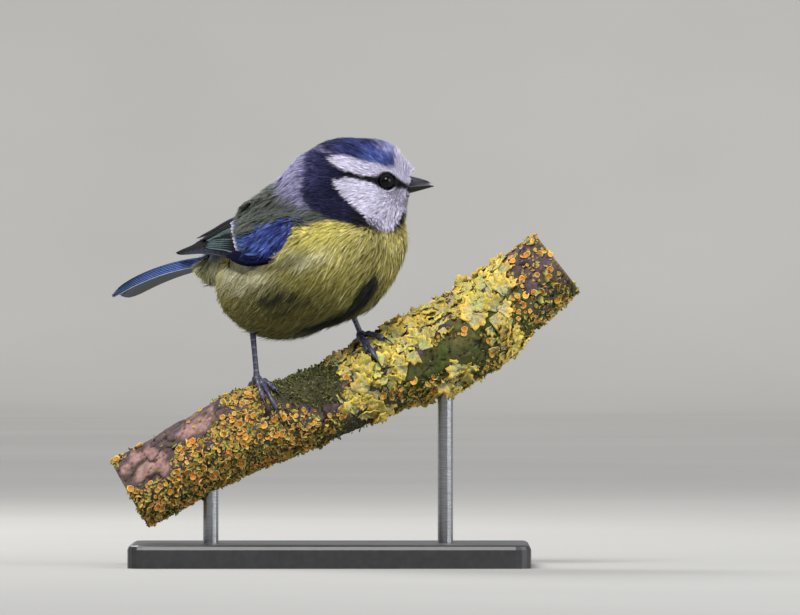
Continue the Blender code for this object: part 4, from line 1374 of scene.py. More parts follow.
def joinVanes(name, laid, material, slotName, mirror, *nodes):
    points = np.concatenate([item[0] for item in laid])
    colours = np.concatenate([item[1] for item in laid])
    barbs = np.concatenate([item[2] for item in laid])
    faces = np.concatenate([vaneFaces + index * len(vanePoints) for index in range(len(laid))])
    if mirror:
        points = points * np.array((1.0, -1.0, 1.0))
        faces = faces[:, ::-1]
    piece = arrayPiece(name, moved(birdToWorld, points), faces, np.clip(colours, 0.0, 1.0))
    layer = piece.data.attributes.new("barb", "FLOAT", "POINT")
    layer.data.foreach_set("value", barbs.astype(np.float32))
    addModifier(piece, "thickness", "SOLIDIFY", thickness=vane["thick"], offset=-1.0)
    return dress(piece, material, slotName, *nodes)


def barbLines(tree, closeness, scale):
    # fine slanting barbs from the vane's own measure along it
    barb = addNode(tree, "ShaderNodeAttribute", attribute_name="barb").outputs["Fac"]
    place = addNode(tree, "ShaderNodeMath", {0: barb, 1: closeness}, operation="MULTIPLY").outputs[0]
    settings = {"W": place, "Scale": scale, "Detail": 2.0}
    return addNode(tree, "ShaderNodeTexNoise", settings, noise_dimensions="1D").outputs["Fac"]


def makeVaneMaterial(name):
    made, tree, shader = newMaterial(name, Roughness=0.6, Specular_IOR_Level=0.2, IOR=1.12)
    lines = barbLines(tree, 5.5, 1.0)
    coloured(tree, shader, lines, ((0.36, (0.66, 0.66, 0.7)), (0.62, (1.22, 1.22, 1.2))), True)
    bumped(tree, shader, lines, 0.00008, 0.7)
    return made


vaneMaterial = makeVaneMaterial("wingVanes")
tailMaterial = makeVaneMaterial("tailVanes")
tailUnder, underTree, underShader = newMaterial("tailUnderside", Roughness=0.6, Specular_IOR_Level=0.3)
underLines = barbLines(underTree, 5.0, 5.0)
coloured(underTree, underShader, underLines, ((0.3, tone(84, 90, 92)), (0.7, tone(116, 122, 124))))


# Wings

wingTone = {
    "black": tone(14, 15, 19),
    "brown": tone(28, 26, 30),
    "navy": tone(20, 24, 54),
    "blue": tone(48, 66, 134),
    "blueLight": tone(92, 118, 196),
    "teal": tone(80, 104, 98),
    "tealPale": tone(156, 186, 190),
    "lilac": tone(140, 130, 152),
    "white": tone(206, 198, 214),
    "grey": tone(120, 132, 160),
    "slate": tone(58, 76, 80),
}
# each tier: how many, the outer edge's first and last root and tip as shares along and up the wing,
# then width, height over the wing's middle and the web colours
wingTiers = {
    "primary": (9, (0.38, -0.03), (0.4, 0.14), (0.97, 0.1), (0.86, 0.62), 3.4, 0.1),
    "secondary": (6, (0.36, 0.14), (0.36, 0.4), (0.8, 0.2), (0.765, 0.44), 3.8, 0.42),
    "primaryCovert": (5, (0.2, -0.03), (0.22, 0.1), (0.56, -0.02), (0.5, 0.12), 2.6, 0.8),
    "greaterCovert": (9, (0.2, 0.16), (0.22, 0.74), (0.495, 0.12), (0.59, 0.72), 3.3, 1.05),
    "alula": (3, (0.14, 0.04), (0.2, 0.19), (0.44, 0.0), (0.395, 0.12), 2.0, 1.35),
    "medianCovert": (7, (0.04, 0.2), (0.06, 0.7), (0.37, 0.14), (0.38, 0.58), 3.6, 1.3),
}
tertials = (
    # root and tip of the outer edge, width, height, which colouring
    ((0.4, 0.42), (0.8, 0.4), 5.4, 0.75, "green"),
    ((0.42, 0.9), (0.83, 0.5), 4.0, 1.0, "dark"),
    ((0.42, 0.98), (0.86, 0.8), 3.2, 1.15, "edged"),
)


def wingFrame(root, tip, width, height):
    slope = (tip[1] - root[1]) / (tip[0] - root[0])

    def frameOf(share):
        along = root[0] + (tip[0] - root[0]) * share
        up = root[1] + slope * (along - root[0])
        at, out, _ = wingSurface(along, up)
        ahead = wingSurface(along + 0.01, up + 0.01 * slope)[0]
        behind = wingSurface(along - 0.01, up - 0.01 * slope)[0]
        path = (ahead - behind).normalized()
        side = out.cross(path).normalized()
        if side.z < 0.0:
            side = -side
        over = 0.85 + height * min(1.0, 0.15 + 1.4 * share)
        return at + side * (0.5 * width) + out * over, side, out

    return frameOf


def webColours(kind, index, count):
    rank = index / max(1, count - 1)

    def colourOf(x, y, draw):
        shade = draw.uniform(0.9, 1.12)
        edge = easeStep(-0.72, -0.82, y)
        dark = wingTone["brown"] if kind == "primary" else wingTone["black"]
        colours = np.tile(dark, (len(x), 1))
        if kind == "primary":
            pale = edge * easeStep(0.2, 0.5, x) * easeStep(1.0, 0.8, x) * 0.3
            colours = mixInto(colours, wingTone["grey"], pale)
        elif kind == "secondary":
            colours = mixInto(colours, wingTone["tealPale"], easeStep(-0.82, -0.9, y) * easeStep(0.99, 0.9, x))
        elif kind == "greaterCovert":
            web = np.array(wingTone["teal"]) * (1.0 - rank) + np.array(wingTone["blue"]) * rank
            web = web * 0.5 + np.array(wingTone["blue"]) * 0.5
            colours = layered(
                colours,
                (web, easeStep(0.15, -0.3, y)),
                (wingTone["blueLight"], edge * 0.5),
                (wingTone["white"], easeStep(0.91, 0.95, x) * 0.85),
            )
        elif kind == "medianCovert":
            colours = layered(
                colours,
                (wingTone["blue"], easeStep(0.7, 0.1, y)),
                (wingTone["navy"], easeStep(0.5, 0.1, x) * 0.6),
            )
        elif kind == "primaryCovert":
            colours = mixInto(colours, wingTone["navy"], easeStep(0.1, -0.3, y) * (0.3 + 0.5 * rank))
        elif kind == "alula":
            colours = mixInto(colours, wingTone["navy"], np.full(len(x), 0.8))
            if index == count - 1:
                colours = mixInto(colours, wingTone["blueLight"], easeStep(0.5, -0.2, y) * 0.85)
        elif kind == "green":
            colours = np.tile(wingTone["teal"], (len(x), 1))
            colours = layered(
                colours,
                (wingTone["slate"], easeStep(0.0, 0.6, y) * 0.6),
                (wingTone["tealPale"], edge * 0.6),
                (wingTone["black"], easeStep(0.86, 0.97, x) * 0.8),
            )
        elif kind in ("dark", "edged"):
            if kind == "edged":
                colours = mixInto(colours, wingTone["lilac"], easeStep(0.35, 0.75, y))
            tip = easeStep(0.92, 0.97, x) * easeStep(0.6, 0.1, np.abs(y - 0.1))
            colours = mixInto(colours, wingTone["white"], tip)
        colours = mixInto(colours, wingTone["black"], (np.abs(y) < 0.1) * 0.55)
        return colours * shade

    return colourOf


def makeWing(side, seed):
    draw = random.Random(seed)
    laid = []
    for kind, (count, first, last, firstTip, lastTip, width, height) in wingTiers.items():
        for index in range(count):
            rank = index / (count - 1)
            root = [a + (b - a) * rank for a, b in zip(first, last)]
            tip = [a + (b - a) * rank for a, b in zip(firstTip, lastTip)]
            if kind == "primary":
                tip[0] += 0.04 * math.sin(math.pi * min(1.0, rank * 1.6))
            tip[0] += draw.uniform(-0.006, 0.006)
            wide = width * draw.uniform(0.96, 1.04)
            frameOf = wingFrame(root, tip, wide, height + 0.32 * rank)
            long = wing["long"] * (tip[0] - root[0])
            laid.append(layVane(frameOf, wide, long, 4.0, webColours(kind, index, count), draw, -0.14))
    for root, tip, width, height, kind in tertials:
        long = wing["long"] * (tip[0] - root[0])
        frameOf = wingFrame(root, tip, width, height)
        laid.append(layVane(frameOf, width, long, 3.0, webColours(kind, 0, 1), draw, -0.1))
    joinVanes("wingFeathers_" + side, laid, vaneMaterial, "flight_feathers", side == "right", "wing_" + side)


makeWing("left", 61)
makeWing("right", 62)
print("wings: vanes")


# Tail: six pairs of vanes, the middle pair on top

tailShape = {
    "line": ((-29.2, 1.6), (-38.0, 1.5), (-49.0, -0.1), (-59.8, -3.2), (-69.6, -7.4)),
    "droop": {-1.0: 0.085, 1.0: 0.115},
    "reach": (0.965, 0.975, 0.985, 1.0, 0.995, 0.98),
    "width": 5.4,
    "long": 40.0,
    "rootHalf": 2.2,
    "tipHalf": 3.2,
    "layer": 0.26,
}


def tailFrame(share, away, droop):
    forward, up = smoothLine(tailShape["line"], share)
    ahead, above = smoothLine(tailShape["line"], min(share + 0.02, 1.0))
    behind, below = smoothLine(tailShape["line"], max(share - 0.02, 0.0))
    upward = Vector((below - above, 0.0, ahead - behind)).normalized()
    if upward.z < 0.0:
        upward = -upward
    at = Vector((forward, away, up)) - upward * (droop * away * away)
    side = Vector((0.0, 1.0, 0.0)) - upward * (2.0 * droop * away)
    outer = upward + Vector((0.0, 2.0 * droop * away, 0.0))
    return at, side.normalized(), outer.normalized()


def tailColours(pair):
    def colourOf(x, y, draw):
        shade = draw.uniform(0.92, 1.08)
        colours = np.tile(tone(84, 112, 196), (len(x), 1))
        colours = layered(
            colours,
            (tone(130, 162, 232), easeStep(-0.3, -0.8, y) * 0.7),
            (tone(30, 38, 74), easeStep(0.1, 0.7, y) * 0.7),
            (tone(28, 34, 60), easeStep(-0.88, -0.98, y) * 0.5),
            (tone(58, 80, 96), easeStep(0.62, 0.94, x) * 0.75),
            (tone(38, 42, 52), easeStep(0.92, 1.0, x) * 0.6),
        )
        if pair == 5:
            colours = mixInto(colours, tone(176, 178, 186), easeStep(-0.8, -0.92, y) * 0.7)
        colours = mixInto(colours, tone(26, 32, 62), (np.abs(y) < 0.1) * 0.7)
        return colours * shade

    return colourOf


def makeTail():
    draw = random.Random(71)
    laid = {-1.0: [], 1.0: []}
    for pair, reach in enumerate(tailShape["reach"]):
        for hand in laid:
            placeOut = (pair + 0.5) / 6.0 * hand
            drop = tailShape["layer"] * (pair + (0.4 if hand < 0.0 else 0.0))
            far = reach + draw.uniform(-0.006, 0.006)

            def frameOf(share, placeOut=placeOut, drop=drop, far=far, hand=hand):
                spread = tailShape["rootHalf"] + (tailShape["tipHalf"] - tailShape["rootHalf"]) * share
                at, side, outer = tailFrame(share * far, placeOut * spread, tailShape["droop"][hand])
                return at - outer * drop, side * -hand, outer

            width = tailShape["width"] * (1.0 - 0.2 * abs(placeOut))
            laid[hand].append(layVane(frameOf, width, tailShape["long"], 9.0, tailColours(pair), draw))
    for hand, side in ((1.0, "left"), (-1.0, "right")):
        piece = joinVanes("tailFeathers_" + side, laid[hand], tailMaterial, "flight_feathers", False, "tail")
        if sum(face.normal.z * face.area for face in piece.data.polygons) < 0.0:
            piece.data.flip_normals()
        piece.data.materials.append(tailUnder)
        piece.modifiers["thickness"].material_offset = 1


makeTail()
print("tail: vanes")


# Branch: its middle line, and places on its packed surface

perch = {
    "line": (
        (-52.0, 18.7, 9.6), (-34.0, 29.0, 9.9), (-23.0, 35.0, 10.3), (-10.0, 39.2, 9.7), (5.0, 45.0, 9.4),
        (18.0, 51.8, 10.6), (29.0, 56.4, 11.2), (38.0, 61.8, 11.6), (47.0, 69.4, 10.2), (59.0, 79.0, 9.2),
    ),
    "voxel": 0.00055,
    "barkDeep": 0.42,
    "crackDeep": 0.5,
    "pixel": 0.26,
    "pixelFrom": (330.0, 566.0),
}
perchSolid = shownPart("perch")
perchTree = treeOf(perchSolid)


def perchPoint(share):
    x, z, radius = smoothLine(perch["line"], share)
    aheadX, aheadZ, _ = smoothLine(perch["line"], min(share + 0.01, 1.0))
    backX, backZ, _ = smoothLine(perch["line"], max(share - 0.01, 0.0))
    along = Vector((aheadX - backX, 0.0, aheadZ - backZ)).normalized()
    return Vector((x, 0.0, z)), along, Vector((-along.z, 0.0, along.x)), radius


def perchShare(x):
    low, high = 0.0, 1.0
    for _ in range(40):
        middle = 0.5 * (low + high)
        if perchPoint(middle)[0].x < x:
            low = middle
        else:
            high = middle
    return 0.5 * (low + high)


# Legs and feet

legs = {
    "right": {
        "top": (-20.6, 2.2, 66.0),
        "ball": (-19.0, 0.6),
        "toes": {"outer": (-12.2, 43.6), "middle": (-11.8, 37.0), "inner": (-16.2, 40.2)},
        "hallux": (-21.0, -62.0),
    },
    "left": {
        "top": (4.8, 2.0, 68.0),
        "ball": (8.1, 0.8),
        "toes": {"outer": (16.6, 57.6), "middle": (14.2, 50.6), "inner": (11.2, 53.2)},
        "hallux": (6.6, -58.0),
    },
}
foot = {
    "ballRadius": 1.35,
    "toeRadius": 0.72,
    "clawRadius": 0.42,
    "clearance": 0.42,
    "clawFrom": 0.74,
    "scutes": 11,
    "toeSteps": 60,
    "halluxSteps": 52,
    "tarsusSteps": 90,
    "tarsusScutes": 9,
    "tarsusLine": ((0.0, 0.3, 0.6, 0.86, 0.95, 1.0), (1.15, 0.92, 0.78, 0.8, 1.0, 1.15)),  # shares and radii
}


def onPerch(alongX, angle, clearance):
    at, _, up, _ = perchPoint(perchShare(alongX))
    out = up * math.cos(angle) - Vector((0.0, math.sin(angle), 0.0))
    hit = perchTree.ray_cast(at + out * 30.0, -out)[0]
    return hit + out * clearance, out


def ballCentre(leg):
    x, y = leg["ball"]
    hit = perchTree.ray_cast(Vector((x, y, 120.0)), Vector((0.0, 0.0, -1.0)))[0]
    return hit + Vector((0.0, 0.0, foot["ballRadius"] + foot["clearance"] + 0.15))


def toeLine(centre, tipX, tipAngle, steps):
    # middle, outward direction, radius and share at steps along a toe that bends round the branch
    at, _, up, _ = perchPoint(perchShare(centre.x))
    offset = centre - at
    startAngle = math.atan2(-offset.y, offset.dot(up))
    startX = centre.x - up.x * offset.dot(up)
    found = []
    for index in range(steps + 1):
        share = index / steps
        claw = max(0.0, (share - foot["clawFrom"]) / (1.0 - foot["clawFrom"]))
        joint = 0.09 * math.cos(math.tau * 3.0 * share)
        flesh = foot["toeRadius"] * (1.08 - 0.3 * share) + joint
        radius = max(0.1, flesh * (1.0 - claw) + foot["clawRadius"] * claw * (1.0 - 0.82 * claw))
        lift = 0.25 * math.sin(math.pi * min(1.0, share / foot["clawFrom"])) + 0.55 * math.sin(math.pi * claw)
        angle = startAngle + (tipAngle - startAngle) * share
        x = startX + (tipX - startX) * share
        place, out = onPerch(x, angle, radius + foot["clearance"] + lift)
        if share < 0.16:
            place = centre.lerp(place, share / 0.16)
        found.append((place, out, radius, share))
    return found


def legToes(leg):
    centre = ballCentre(leg)
    lines = []
    for tipX, tipZ in leg["toes"].values():
        guess = tipX
        for _ in range(12):
            at, _, up, radius = perchPoint(perchShare(guess))
            reach = radius + foot["clearance"] + 0.3
            cosine = min(1.0, max(-1.0, (tipZ - at.z) / (reach * up.z)))
            guess = tipX - up.x * reach * cosine
        lines.append(toeLine(centre, guess, math.acos(cosine), foot["toeSteps"]))
    halluxX, halluxAngle = leg["hallux"]
    lines.append(toeLine(centre, halluxX, math.radians(halluxAngle), foot["halluxSteps"]))
    return centre, lines


def framesAlong(points, outs):
    # across and outward directions at each point of a line
    frames = []
    for index, out in enumerate(outs):
        ahead = points[min(index + 1, len(points) - 1)] - points[max(index - 1, 0)]
        ahead.normalize()
        first = ahead.cross(out).normalized()
        frames.append((first, first.cross(ahead).normalized()))
    return frames


def scuteStep(share, count):
    # a plate that rises slowly and ends in a small step
    place = (share * count) % 1.0
    return place**1.6 * (1.0 if place < 0.9 else 10.0 * (1.0 - place))


def makeToes(side, leg):
    centre, lines = legToes(leg)
    for part, low, high, material in (("toes", 0.0, 0.78, legMaterial), ("claws", 0.7, 1.0, clawMaterial)):
        bm = bmesh.new()
        for line in lines:
            taken = [step for step in line if low <= step[3] <= high]
            points = [step[0] for step in taken]
            rings = []
            frames = framesAlong(points, [step[1] for step in taken])
            for (place, _, radius, share), (first, second) in zip(taken, frames):
                if part == "toes":
                    end = max(0.25, min(1.0, (0.8 - share) / 0.05))
                    wide = radius * end * (1.0 + 0.03 * scuteStep(share, foot["scutes"]))
                    tall = radius * end * (1.0 + 0.1 * scuteStep(share, foot["scutes"]))
                else:
                    claw = min(1.0, (share - 0.7) / 0.3)
                    wide = foot["clawRadius"] * (1.0 - claw) ** 0.8 * 0.82 + 0.03
                    tall = foot["clawRadius"] * (1.0 - claw) ** 0.7 * 1.15 + 0.03
                rings.append((place, first, second, wide, tall))
            ringTube(bm, rings, 12)
        if part == "toes":
            made = bmesh.ops.create_icosphere(bm, subdivisions=3, radius=1.0)["verts"]
            bmesh.ops.scale(bm, vec=[foot["ballRadius"] * k for k in (1.0, 0.92, 0.98)], verts=made)
            bmesh.ops.translate(bm, vec=centre, verts=made)
        bmesh.ops.recalc_face_normals(bm, faces=bm.faces)
        piece = meshPiece(part + "_" + side, bm)
        paint(piece.data, legColours(pointsOf(piece), part == "claws"))
        dress(piece, material, "legs", *(("foot_" + side,) if part == "toes" else ()))


def legColours(points, horn):
    grain = np.array([noise.noise(Vector(p) * 1.6) for p in points])
    colours = np.tile(tone(24, 23, 28) if horn else tone(52, 52, 70), (len(points), 1))
    return mixInto(colours, tone(52, 50, 60) if horn else tone(100, 98, 126), easeStep(-0.1, 0.5, grain) * 0.6)


def makeTarsus(side, leg):
    centre = ballCentre(leg)
    top = Vector(leg["top"])
    lean = (top - centre).normalized()
    start = top + lean * 0.5
    bm = bmesh.new()
    rings = []
    steps, scutes = foot["tarsusSteps"], foot["tarsusScutes"]
    points = [start.lerp(centre, index / steps) for index in range(steps + 1)]
    for index, (first, second) in enumerate(framesAlong(points, [Vector((-0.3, -0.95, 0.0))] * len(points))):
        share = index / steps
        radius = float(np.interp(share, *foot["tarsusLine"]))
        front = 0.07 * scuteStep(share, scutes)
        at = points[index] + second * (front * 0.4)
        rings.append((at, first, second, radius * (0.86 + 0.4 * front), radius * (1.0 + front)))
    ringTube(bm, rings, 16)
    bmesh.ops.recalc_face_normals(bm, faces=bm.faces)
    piece = meshPiece("tarsus_" + side, bm)
    points = pointsOf(piece)
    colours = legColours(points, False)
    far = np.array([(Vector(p) - start).dot(-lean) for p in points]) / (start - centre).length
    edge = np.array([scuteStep(f, scutes) for f in far])
    colours = layered(
        colours,
        (tone(150, 154, 184), easeStep(0.55, 0.95, edge) * 0.45),
        (tone(34, 34, 46), easeStep(0.18, 0.02, edge) * 0.5),
    )
    paint(piece.data, colours)
    dress(piece, legMaterial, "legs", "leg_" + side)


def makeLegMaterial(name, roughness, cells):
    made, tree, shader = newMaterial(
        name, Roughness=roughness, Specular_IOR_Level=0.5, Coat_Weight=0.1, Coat_Roughness=0.4
    )
    settings = {"Vector": objectPoints(tree), "Scale": cells}
    plates = addNode(tree, "ShaderNodeTexVoronoi", settings, feature="DISTANCE_TO_EDGE").outputs["Distance"]
    coloured(tree, shader, plates, ((0.0, (0.5, 0.5, 0.55)), (0.16, (1.1, 1.1, 1.1))), True, 0.6)
    bumped(tree, shader, plates, 0.00006, 0.6)
    return made


legMaterial = makeLegMaterial("legScutes", 0.45, 1500.0)
clawMaterial = makeLegMaterial("clawHorn", 0.3, 900.0)
for side, leg in legs.items():
    makeTarsus(side, leg)
    makeToes(side, leg)
print("legs: scutes, toes and claws")
toePoints = KDTree(2000)
for leg in legs.values():
    for line in legToes(leg)[1]:
        for step, (place, _, _, _) in enumerate(line):
            toePoints.insert(place, step)
toePoints.balance()


# Bark

barkTone = {
    "brown": tone(86, 72, 66),
    "purple": tone(84, 66, 76),
    "pink": tone(158, 124, 118),
    "greenBrown": tone(88, 86, 46),
    "moss": tone(70, 82, 34),
    "mossDark": tone(62, 62, 36),
    "crack": tone(26, 20, 18),
    "woodPale": tone(196, 164, 118),
    "woodDark": tone(140, 104, 66),
}
# areas seen from the front, as outlines in the photograph's pixels
growth = {
    "pink": (((122, 472), (130, 456), (150, 446), (166, 452), (172, 468), (160, 478), (138, 480)),
             ((176, 436), (190, 418), (214, 408), (220, 418), (204, 430), (186, 440))),
    "bare": (((112, 482), (122, 456), (160, 428), (196, 408), (222, 398), (226, 412), (204, 434), (174, 446),
              (172, 470), (150, 484), (128, 488)),),
    "moss": (((268, 392), (276, 374), (300, 362), (340, 356), (346, 372), (342, 398), (318, 408), (284, 406)),),
    "leafy": (
        ((322, 358), (344, 343), (360, 352), (378, 338), (394, 318), (420, 308), (442, 300), (449, 318), (440, 338),
         (424, 350), (408, 356), (402, 374), (384, 392), (362, 394), (346, 376), (334, 366)),
        ((442, 306), (458, 278), (478, 262), (500, 254), (506, 274), (504, 292), (484, 300), (486, 318),
         (470, 328), (452, 312)),
        ((486, 320), (500, 306), (514, 322), (528, 346), (508, 354), (490, 344)),
        ((334, 402), (352, 390), (372, 392), (390, 402), (386, 418), (350, 414)),
        ((416, 404), (430, 392), (452, 378), (470, 360), (480, 366), (462, 384), (440, 398)),
    ),
    "green": (((400, 400), (404, 372), (430, 350), (452, 322), (484, 304), (514, 284), (530, 300), (534, 330),
               (500, 362), (440, 396)),),
}


def frontPixel(points):
    (u, v), size = perch["pixelFrom"], perch["pixel"]
    return u + points[:, 0] / size, v - points[:, 2] / size


def growthShare(points, kind, soft):
    # the front's outlines, met again on the far side with a shift along the branch
    u, v = frontPixel(points)
    wobble = np.array([noise.noise(Vector(p) * 0.35) for p in points]) * 5.0
    far = points[:, 1] > 0.0
    u = u + wobble + np.where(far, 14.0 * np.sin(points[:, 0] * 0.13), 0.0)
    v = v + wobble
    return np.max([insideOutline(u, v, outline, soft) for outline in growth[kind]], axis=0)


def makeBark():
    bark = linked("bark", perchSolid.copy())
    addModifier(bark, "close", "REMESH", mode="VOXEL", voxel_size=perch["voxel"])
    settled(bark)
    mesh = bark.data
    count = len(mesh.vertices)
    points, normals = pointsOf(bark), meshArray(mesh.vertices, "normal", 3)
    _, along, up, _ = perchPoint(0.5)
    ends = [perchPoint(0.0), perchPoint(1.0)]
    gaps = [np.abs((points - np.array(at)) @ np.array(way)) for at, way, _, _ in ends]
    facing = np.abs(normals @ np.array(along))
    cut = np.maximum(easeStep(0.9, 0.4, gaps[0]), easeStep(0.9, 0.4, gaps[1])) * easeStep(0.6, 0.85, facing)
    stretched = points @ np.array([along[:], (0.0, 1.0, 0.0), up[:]]).T * np.array((0.5, 1.0, 1.0))
    rough = np.array([noise.fractal(Vector(p) * 0.34, 1.0, 2.1, 5) for p in stretched])
    vein = np.array([noise.noise(Vector(p) * 0.16 + Vector((7.0, 1.0, 3.0))) for p in points])
    vein2 = np.array([noise.noise(Vector(p) * 0.24 + Vector((1.0, 9.0, 5.0))) for p in stretched])
    crack = np.maximum(easeStep(0.035, 0.0, np.abs(vein)), easeStep(0.04, 0.0, np.abs(vein2)) * 0.8)
    height = perch["barkDeep"] * np.clip(rough, -1.0, 1.0) - perch["crackDeep"] * crack
    height = height * (1.0 - cut)
    mesh.vertices.foreach_set("co", ((points + normals * height[:, None]) * 0.001).astype(np.float32).ravel())
    mesh.update()
    colours = np.tile(barkTone["brown"], (count, 1))
    colours = mixInto(colours, barkTone["purple"], easeStep(-0.2, 0.3, rough))
    green = growthShare(points, "green", 8.0)
    colours = mixInto(colours, barkTone["greenBrown"], green * 0.9)
    lower = easeStep(0.1, -0.7, normals @ np.array(up))
    colours = layered(
        colours,
        (barkTone["moss"], np.clip(green * easeStep(-0.15, 0.35, vein + rough * 0.5) + lower * 0.5, 0.0, 1.0) * 0.85),
        (barkTone["mossDark"], growthShare(points, "moss", 6.0) * 0.9),
        (barkTone["pink"], growthShare(points, "pink", 5.0) * easeStep(-0.5, 0.2, rough)),
        (barkTone["crack"], np.clip(crack * 1.2, 0.0, 1.0) * (1.0 - cut)),
        (barkTone["crack"], easeStep(-0.2, -0.8, rough) * 0.5 * (1.0 - cut)),
    )
    ring = np.zeros(count)
    for (at, way, _, _), gap in zip(ends, gaps):
        offset = points - np.array(at)
        ring = np.where(gap < 3.0, np.linalg.norm(offset - np.outer(offset @ np.array(way), way), axis=1), ring)
    wood = 0.5 + 0.5 * np.sin(ring * 4.2 + 1.4 * rough)
    colours = layered(
        colours,
        (barkTone["woodPale"], cut),
        (barkTone["woodDark"], cut * wood * 0.6),
        (barkTone["crack"], cut * easeStep(7.6, 8.6, ring) * 0.7),
    )
    paint(mesh, colours)
    for face in mesh.polygons:
        face.use_smooth = True
    shades = ((0.3, (0.5, 0.48, 0.48)), (0.5, (1.0, 1.0, 1.0)), (0.72, (1.5, 1.48, 1.42)))
    made = grainMaterial(
        "barkRough", (700.0, 6.0, 0.65), shades, (0.0004, 0.8), tinted=True, Roughness=0.88, Specular_IOR_Level=0.25
    )
    return dress(bark, made, "bark", "perch")


bark = makeBark()
barkTree = treeOf(bark.data)
print("branch: bark with", len(bark.data.vertices), "points")


# Lichen and moss: small shapes strewn over the bark

lichen = {
    "cupGap": 0.88,
    "scaleGap": 0.8,
    "leafGap": 1.35,
    "mossGap": 0.5,
    "tries": 42000,
    "leafTries": 26000,
    "mossTries": 60000,
    "leafThick": 0.0002,
    "toeClear": 1.25,
    "kinds": 6,
}


def barkSpots(gap, seed, most, wanted):
    # places on the bark at least a gap apart, with their normals, where wanted gives a high share
    draw = random.Random(seed)
    taken, spots = {}, []
    for _ in range(most):
        share, turn = draw.random(), draw.uniform(-math.pi, math.pi)
        at, along, up, _ = perchPoint(share)
        out = up * math.cos(turn) + Vector((0.0, math.sin(turn), 0.0))
        hit, normal, _, _ = barkTree.ray_cast(at + out * 30.0, -out)
        if hit is None or abs(normal.dot(along)) > 0.8:
            continue
        home = tuple(int(value // gap) for value in hit)
        if any((hit - other).length < gap for other in around(taken, home)):
            continue
        taken.setdefault(home, []).append(hit)
        spots.append((hit, normal, turn))
    points = np.array([spot[0][:] for spot in spots])
    shares = wanted(points, np.array([spot[2] for spot in spots]))
    picks = np.array([draw.random() for _ in spots])
    kept = [spot for spot, share, pick in zip(spots, shares, picks) if pick < share]
    return [spot for spot in kept if toePoints.find(spot[0])[2] > lichen["toeClear"]]


def strew(name, shape, faces, tints, spots, sizes, seed, material, tilt=0.35, sink=0.0):
    # tints gives a colour for each point of the shape, and each copy shifts it a little
    draw = np.random.default_rng(seed)
    count = len(spots)
    normals = np.array([spot[1][:] for spot in spots])
    at = np.array([spot[0][:] for spot in spots])
    tilted = unit(normals + draw.normal(0.0, tilt, (count, 3)))
    first = unit(np.cross(tilted, unit(draw.normal(0.0, 1.0, (count, 3)))))
    second = np.cross(tilted, first)
    low, high = sizes
    size = (low + (high - low) * draw.random(count) ** 1.6)[:, None, None]
    kinds = shape[draw.integers(0, len(shape), count)] * size
    points = at[:, None] + kinds[:, :, :1] * first[:, None] + kinds[:, :, 1:2] * second[:, None]
    points = points + (kinds[:, :, 2:] - sink) * tilted[:, None]
    shade = draw.normal(1.0, 0.14, (count, 1, 1)) * (1.0 + draw.normal(0.0, 0.05, (count, 1, 3)))
    colours = np.clip(tints[None] * shade, 0.0, 1.0)
    triangles = faces[None] + (np.arange(count) * shape.shape[1])[:, None, None]
    piece = arrayPiece(name, points.reshape(-1, 3), triangles.reshape(-1, 3), colours.reshape(-1, 3))
    return dress(piece, material, "bark")


def cupKinds(seed):
    # a disc in a raised, crinkled rim on a short stalk
    draw = random.Random(seed)
    kinds = []
    for _ in range(lichen["kinds"]):
        bm = bmesh.new()
        sides = 9
        profile = ((0.4, -0.5), (0.8, 0.0), (1.0, 0.24), (0.84, 0.26), (0.66, 0.12))
        loops = []
        squash = draw.uniform(0.7, 1.0)
        bends = [draw.uniform(-0.13, 0.13) for _ in range(sides)]
        for radius, z in profile:
            made = bmesh.ops.create_circle(bm, segments=sides, radius=radius)["verts"]
            edges = list({edge for vert in made for edge in vert.link_edges})
            for vert, bend in zip(made, bends):
                vert.co.x *= squash
                vert.co.z = z + bend * radius
                vert.co.xy *= 1.0 + bend
            loops.append(edges)
        for one, other in zip(loops, loops[1:]):
            bmesh.ops.bridge_loops(bm, edges=one + other)
        bmesh.ops.contextual_create(bm, geom=loops[-1])
        bmesh.ops.recalc_face_normals(bm, faces=bm.faces)
        bmesh.ops.triangulate(bm, faces=bm.faces)
        faceUp(bm)
        points, faces = arraysOf(bm)
        kinds.append(points)
    return np.array(kinds), faces


def leafKinds(seed, columns, rows, lobes, wave, curl):
    # a fan with a scalloped edge, wavy and lifted towards its rim
    draw = random.Random(seed)
    kinds = []
    for _ in range(lichen["kinds"]):
        bm = bmesh.new()
        bmesh.ops.create_grid(bm, x_segments=columns, y_segments=rows, size=0.5)
        phase, lean = draw.uniform(0.0, 6.0), draw.uniform(0.7, 1.2)
        for vert in bm.verts:
            across, along = vert.co.x * 2.0, vert.co.y + 0.5
            turn = across * 0.95 * lean
            notch = 1.0 + 0.13 * math.cos(lobes * across + phase) * along**2 - 0.1 * abs(across) ** 3
            reach = (0.08 + 0.92 * along) * notch
            swell = wave * math.sin(lobes * across + phase + 1.0) * along + curl * along**2
            swell += wave * 0.5 * math.sin(9.0 * along + 2.0 * phase + 3.0 * across)
            vert.co = (reach * math.sin(turn), reach * math.cos(turn) - 0.3, swell)
        bmesh.ops.triangulate(bm, faces=bm.faces)
        points, faces = arraysOf(bm)
        kinds.append(points)
    return np.array(kinds), faces


def crusty(points, turns):
    # cups and small scales crowd the branch's lower and upper ends, and leave the bare bark
    x = points[:, 0]
    share = np.maximum(easeStep(-8.0, -14.0, x + 0.2 * points[:, 2] - 8.0), easeStep(42.0, 50.0, x) * 0.4)
    share = np.maximum(share, easeStep(0.4, -0.5, np.cos(turns)) * easeStep(2.0, -8.0, x) * 0.9)
    patchy = np.array([noise.noise(Vector(p) * 0.12 + Vector((4.0, 4.0, 4.0))) for p in points])
    share = np.maximum(share, easeStep(0.08, 0.3, patchy) * 0.7)
    for kind, left in (("bare", 0.02), ("moss", 0.08), ("leafy", 0.08)):
        share = share * (1.0 - (1.0 - left) * growthShare(points, kind, 4.0))
    return share


